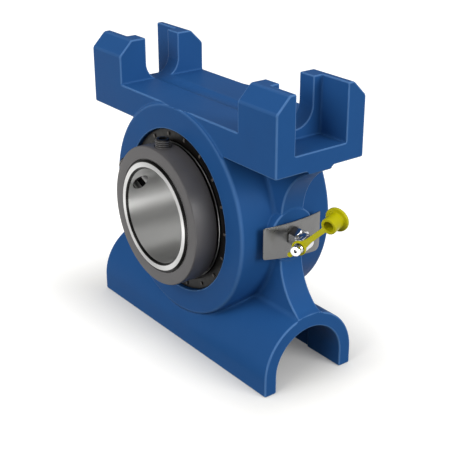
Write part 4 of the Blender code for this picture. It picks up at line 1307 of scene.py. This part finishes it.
# The elbow leaves the hexagon as a short round bar that ends in a ball where the axes meet
elbowStart = hexBase + nipple["elbowSink"]
radius = nipple["elbowRadius"]
elbow = [(0, elbowStart), (radius, elbowStart)]
for step in range(nipple["elbowSteps"]):
    angle = math.pi / 2 * step / nipple["elbowSteps"]
    elbow.append((radius * math.cos(angle), elbowEnd + radius * math.sin(angle)))
elbow.append((0, elbowEnd + radius))
nippleMesh = withTurned(nippleMesh, "UNION", elbow, nipple["headSteps"], axisPlace)
headCorner, mouthCorner = nipple["headCorner"], nipple["mouthCorner"]
mouthEnd = nipple["reach"] - nipple["mouthDepth"]
head = [
    (0, 0, 0),
    (nipple["shoulder"], 0, 0),
    (nipple["shoulder"], nipple["shoulderEnd"], nipple["shoulderCorner"]),
    (nipple["neck"], nipple["shoulderEnd"], nipple["neckCorners"][0]),
    (nipple["neck"], nipple["neckEnd"], nipple["neckCorners"][1]),
    (nipple["waist"], nipple["waistPlace"], nipple["waistCorner"]),
    (nipple["head"], nipple["headStart"], headCorner),
    (nipple["head"], nipple["headEnd"], headCorner),
    (nipple["headFace"], nipple["reach"], nipple["faceCorner"]),
    (nipple["mouth"] + nipple["mouthChamfer"], nipple["reach"], mouthCorner),
    (nipple["mouth"], nipple["reach"] - nipple["mouthChamfer"], mouthCorner),
    (nipple["mouth"], mouthEnd, 0),
    (nipple["chamber"], mouthEnd - nipple["valveSeat"], 0),
    (nipple["chamber"], nipple["chamberEnd"], 0),
    (0, nipple["chamberEnd"] - nipple["chamberPoint"], 0),
]
head = softened(head, closed=False, steps=4)
nippleMesh = withTurned(nippleMesh, "UNION", head, nipple["headSteps"], nipplePlace)
edges = {"width": nipple["edge"] * mm, "segments": 2, "limit_method": "ANGLE"}
edges["angle_limit"] = math.radians(nipple["edgeAngle"])
nippleMesh = smoothShaded(modified(nippleMesh, ("BEVEL", edges)), 24)
addPiece("greaseNipple", nippleMesh, brightPlating, "housing", "grease_nipple")

ballProfile = [(0, -nipple["ball"])]
for step in range(1, nipple["ballSteps"]):
    angle = math.pi * step / nipple["ballSteps"]
    ballProfile.append((nipple["ball"] * math.sin(angle), -nipple["ball"] * math.cos(angle)))
ballProfile.append((0, nipple["ball"]))
ballLow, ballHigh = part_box("nipple_ball")
ballPlace = Matrix.Translation((ballLow + ballHigh) / 2)
ballMesh = turnedMesh("nippleBall", ballProfile, 2 * nipple["ballSteps"], ballPlace, closed=False)
smoothShaded(ballMesh)
addPiece("nippleBall", ballMesh, bearingSteel, "nipple_ball", "nipple_ball")


# Dust cap, one soft moulding: ring, strap, tab and cup

cap = {
    "ringPlace": 10.7,
    "ringInside": 3.4,
    "ringOutside": 4.7,
    "ringThickness": 1.6,
    "rise": 44.0,
    "strapLength": 22.0,
    "strapWidth": 3.4,
    "strapRoot": 5.0,
    "strapThickness": 1.4,
    "cupWay": (-0.26, 0.95, 0.15),
    "cupRadius": 5.1,
    "cupLength": 10.8,
    "holeRadius": 3.2,
    "holeDepth": 8.4,
    "flangeRadius": 7.7,
    "flangeThickness": 2.0,
    "flangeRoot": 0.4,
    "flangeCorner": 0.6,
    "tabRadius": 1.6,
    "tabReach": 7.7,
    "corner": 0.5,
    "fineCorner": 0.3,
    "steps": 72,
    "knobSteps": 28,
    "voxel": 0.16,
    "quickVoxel": 0.3,
    "smoothing": 6,
    "keptShare": 0.5,
}
rise = math.radians(cap["rise"])
strapWay = zAxis.cross(nippleWay) * math.cos(rise) + zAxis * math.sin(rise)
capTurn = Matrix((strapWay, nippleWay.cross(strapWay), nippleWay)).transposed()
capMiddle = nipplePivot + nippleWay * cap["ringPlace"] * mm
capPlace = Matrix.Translation(capMiddle) @ capTurn.to_4x4()
half, thin = cap["ringThickness"] / 2, cap["strapThickness"] / 2
corner, fine = cap["corner"], cap["fineCorner"]
ringProfile = [
    (cap["ringInside"], -half, fine),
    (cap["ringOutside"], -half, corner),
    (cap["ringOutside"], half, corner),
    (cap["ringInside"], half, fine),
]
capMesh = turnedMesh("dustCap", softened(ringProfile), cap["steps"], capPlace)
middle = (cap["ringInside"] + cap["ringOutside"]) / 2
strap = [
    (middle, -cap["strapRoot"] / 2),
    (2 * cap["ringOutside"], -cap["strapWidth"] / 2),
    (cap["strapLength"], -cap["strapWidth"] / 2),
    (cap["strapLength"], cap["strapWidth"] / 2),
    (2 * cap["ringOutside"], cap["strapWidth"] / 2),
    (middle, cap["strapRoot"] / 2),
]
neck = [
    (-middle, -cap["tabRadius"] / 2),
    (-middle, cap["tabRadius"] / 2),
    (-cap["tabReach"], cap["tabRadius"] / 2),
    (-cap["tabReach"], -cap["tabRadius"] / 2),
]
knob = []
for step in range(cap["knobSteps"]):
    angle = math.tau * step / cap["knobSteps"]
    knob.append((cap["tabRadius"] * math.cos(angle) - cap["tabReach"], cap["tabRadius"] * math.sin(angle)))
for outline, height in ((strap, thin), (neck, thin), (knob, half)):
    capMesh = combined(capMesh, prismMesh("web", outline, -height, height, capPlace), "UNION")
cupWay = Vector(cap["cupWay"]).normalized()
cupWall = (cap["cupRadius"] + cap["holeRadius"]) / 2
cupStart = strapWay * (cap["strapLength"] + cupWall) - cupWay * cap["strapThickness"]
flangeStart = cap["cupLength"] - cap["flangeThickness"]
cup = [
    (0, cap["holeDepth"], 0),
    (cap["holeRadius"], cap["holeDepth"], corner),
    (cap["holeRadius"], 0, fine),
    (cap["cupRadius"], 0, corner),
    (cap["cupRadius"], flangeStart, cap["flangeRoot"]),
    (cap["flangeRadius"], flangeStart, corner),
    (cap["flangeRadius"], cap["cupLength"], cap["flangeCorner"]),
    (0, cap["cupLength"], 0),
]
cupPlace = placeAlong(capMiddle + cupStart * mm, cupWay)
capMesh = withTurned(capMesh, "UNION", softened(cup, closed=False), cap["steps"], cupPlace)
voxel = cap["voxel"]
capMesh = modified(
    capMesh,
    ("REMESH", {"mode": "VOXEL", "voxel_size": voxel * mm}),
    ("SMOOTH", {"factor": 0.5, "iterations": cap["smoothing"]}),
    ("DECIMATE", {"ratio": cap["keptShare"]}),
)
addPiece("dustCap", smoothShaded(capMesh, 60), yellowPolyethylene, "dust_cap", "dust_cap")


# Floor, light and camera

studio = {
    "seenFloor": "#E6E5E2",
    "litFloor": "#4A4A4A",
    "paintedShadowLift": 0.10,
    "farLift": 0.5,
    "paintedShadowReach": 70.0,
    "floorSize": 18.0,
    "worldTone": "#FFFFFF",
    "worldStrength": 0.70,
    "mirroredWorld": 0.20,
    # The cards paint reflections in the metal and light nothing else
    "cards": [
        # middle in metres, width, depth, brightness; a raised card is turned to the unit
        ("whiteCard", (-0.56, 0.66, 1.06), 0.50, 0.50, 2.0),
        ("blackCard", (-0.83, 0.85, 0.002), 1.6, 1.6, 0.02),
        ("darkStrip", (0.085, -0.075, 0.002), 0.19, 0.075, 0.02),
        ("frontCard", (0.20, -0.28, 0.002), 0.22, 0.20, 5.0),
    ],
    "raisedFrom": 0.1,
    "lampMiddle": 0.095,
    "lamps": [
        # place in metres from the middle of the unit, width, height, power in watts, seen in metal
        ("keyBox", (0.10, -1.45, 0.85), 1.1, 0.9, 5.0, True),
        ("fillBox", (0.15, -1.50, 0.75), 1.1, 0.9, 9.0, False),
        ("endBox", (1.5, 0.45, 0.6), 0.8, 0.8, 15.0, True),
    ],
}


def flatMesh(name, width, depth):
    x, y = width / 2, depth / 2
    mesh = bpy.data.meshes.new(name)
    mesh.from_pydata([(-x, -y, 0), (x, -y, 0), (x, y, 0), (-x, y, 0)], [], [(0, 1, 2, 3)])
    return mesh


def emptyMaterial(name):
    # A material for the studio, with an output and no shader yet
    paint = bpy.data.materials.new(name)
    paint.use_nodes = True
    paint.node_tree.nodes.remove(paint.node_tree.nodes["Principled BSDF"])
    return paint, paint.node_tree, paint.node_tree.nodes["Material Output"].inputs["Surface"]


# Plain paper sweep, lifted to white for the eye and in metal, and less so close to the unit's foot, which
# paints a contact shadow there
floorPaint, tree, surface = emptyMaterial("matteStudioPaper")
path = addNode(tree, "ShaderNodeLightPath").outputs
seen = path["Is Camera Ray"]
for ray in ("Is Glossy Ray", "Is Transmission Ray"):
    seen = addNode(tree, "ShaderNodeMath", {"operation": "MAXIMUM"}, {0: seen, 1: path[ray]}).outputs[0]
tone = addNode(
    tree,
    "ShaderNodeMix",
    {"data_type": "RGBA"},
    {0: seen, 6: linear(studio["litFloor"]), 7: linear(studio["seenFloor"])},
)
matte = addNode(tree, "ShaderNodeBsdfDiffuse", inputs={"Color": tone.outputs[2]})
# Distance from the foot's outline sets the painted contact shadow: the glow is weakest at the foot
spot = addNode(tree, "ShaderNodeTexCoord").outputs["Object"]
foot = Vector((casting["archLength"] / 2 * mm, casting["archRadius"] * mm, 0))
for operation, other in (
    ("SUBTRACT", footPlace.translation),
    ("ABSOLUTE", None),
    ("SUBTRACT", foot),
    ("MAXIMUM", Vector()),
):
    values = {0: spot} if other is None else {0: spot, 1: tuple(other)}
    spot = addNode(tree, "ShaderNodeVectorMath", {"operation": operation}, values).outputs[0]
away = addNode(tree, "ShaderNodeVectorMath", {"operation": "LENGTH"}, {0: spot}).outputs["Value"]
paintedShadowRamp = addNode(
    tree,
    "ShaderNodeMapRange",
    inputs={
        "Value": away,
        "From Max": studio["paintedShadowReach"] * mm,
        "To Min": studio["paintedShadowLift"],
        "To Max": studio["farLift"],
    },
)
lift = addNode(tree, "ShaderNodeMath", {"operation": "MULTIPLY"}, {0: seen, 1: paintedShadowRamp.outputs["Result"]})
glow = addNode(tree, "ShaderNodeEmission", inputs={"Strength": lift.outputs[0]})
both = addNode(tree, "ShaderNodeAddShader", inputs={0: matte.outputs[0], 1: glow.outputs[0]})
tree.links.new(both.outputs[0], surface)
studioFloor = linkedObject("studioFloor", flatMesh("studioFloor", studio["floorSize"], studio["floorSize"]))
studioFloor.data.materials.append(floorPaint)

# Painted reflections: cards that only metal sees, a glowing white one above the back, dark ones behind and
# in front, and a bright glowing one farther in front
for name, middle, width, depth, strength in studio["cards"]:
    middle = Vector(middle)
    isRaised = middle.z > studio["raisedFrom"]
    turned = middle.to_track_quat("Z", "X").to_matrix().to_4x4() if isRaised else Matrix()
    cardMesh = flatMesh(name, width, depth)
    cardMesh.transform(Matrix.Translation(middle) @ turned)
    card = linkedObject(name, cardMesh)
    paint, tree, surface = emptyMaterial(name + "Paint")
    glow = addNode(tree, "ShaderNodeEmission", inputs={"Strength": strength})
    tree.links.new(glow.outputs[0], surface)
    cardMesh.materials.append(paint)
    card.visible_camera = card.visible_diffuse = card.visible_transmission = card.visible_shadow = False

# The world lights the unit, is white to the eye and dimmer in metal
world = bpy.data.worlds.new("studioWorld")
bpy.context.scene.world = world
world.use_nodes = True
tree = world.node_tree
ambient = tree.nodes["Background"]
ambient.inputs["Color"].default_value = linear(studio["worldTone"])
ambient.inputs["Strength"].default_value = studio["worldStrength"]
path = addNode(tree, "ShaderNodeLightPath").outputs
light = ambient.outputs[0]
for ray, colour, strength in (
    ("Is Glossy Ray", linear(studio["worldTone"]), studio["mirroredWorld"]),
    ("Is Transmission Ray", linear("#FFFFFF"), 1.0),
    ("Is Camera Ray", linear("#FFFFFF"), 1.0),
):
    other = addNode(tree, "ShaderNodeBackground", inputs={"Color": colour, "Strength": strength}).outputs[0]
    light = addNode(tree, "ShaderNodeMixShader", inputs={0: path[ray], 1: light, 2: other}).outputs[0]
tree.links.new(light, tree.nodes["World Output"].inputs["Surface"])

unitMiddle = footPlace.translation + zAxis * studio["lampMiddle"]
for name, offset, width, height, power, isSeenInMetal in studio["lamps"]:
    lamp = bpy.data.lights.new(name, "AREA")
    lamp.shape = "RECTANGLE"
    lamp.size, lamp.size_y = width, height
    lamp.energy = power
    holder = linkedObject(name, lamp)
    holder.location = unitMiddle + Vector(offset)
    holder.rotation_euler = (-Vector(offset)).to_track_quat("-Z", "Y").to_euler()
    holder.visible_camera = False
    holder.visible_glossy = isSeenInMetal

# Camera solved from the photograph's edges and circles; its place is counted from the bearing
lens = {
    "place": (504.07, -374.66, 255.78),
    "azimuth": 53.01,
    "elevation": 23.69,
    "roll": -0.18,
    "length": 81.58,
    "sensor": 36,
    "clip": (0.01, 50),  # metres
}
azimuth, elevation, roll = (math.radians(lens[key]) for key in ("azimuth", "elevation", "roll"))
level = Vector((math.sin(azimuth), -math.cos(azimuth), 0))
back = level * math.cos(elevation) + zAxis * math.sin(elevation)
right = zAxis.cross(back).normalized()
upward = back.cross(right)
turnedRight = right * math.cos(roll) + upward * math.sin(roll)
turnedUp = upward * math.cos(roll) - right * math.sin(roll)
camera = linkedObject("photoCamera", bpy.data.cameras.new("photoCamera"))
camera.data.sensor_width = lens["sensor"]
camera.data.lens = lens["length"]
camera.data.clip_start, camera.data.clip_end = lens["clip"]
place = bearingCentre + Vector(lens["place"]) * mm
camera.matrix_world = Matrix.Translation(place) @ Matrix((turnedRight, turnedUp, back)).transposed().to_4x4()
bpy.context.scene.camera = camera
bpy.context.scene.view_settings.view_transform = "Standard"
print("made the floor,", len(studio["lamps"]), "lamps and the camera")
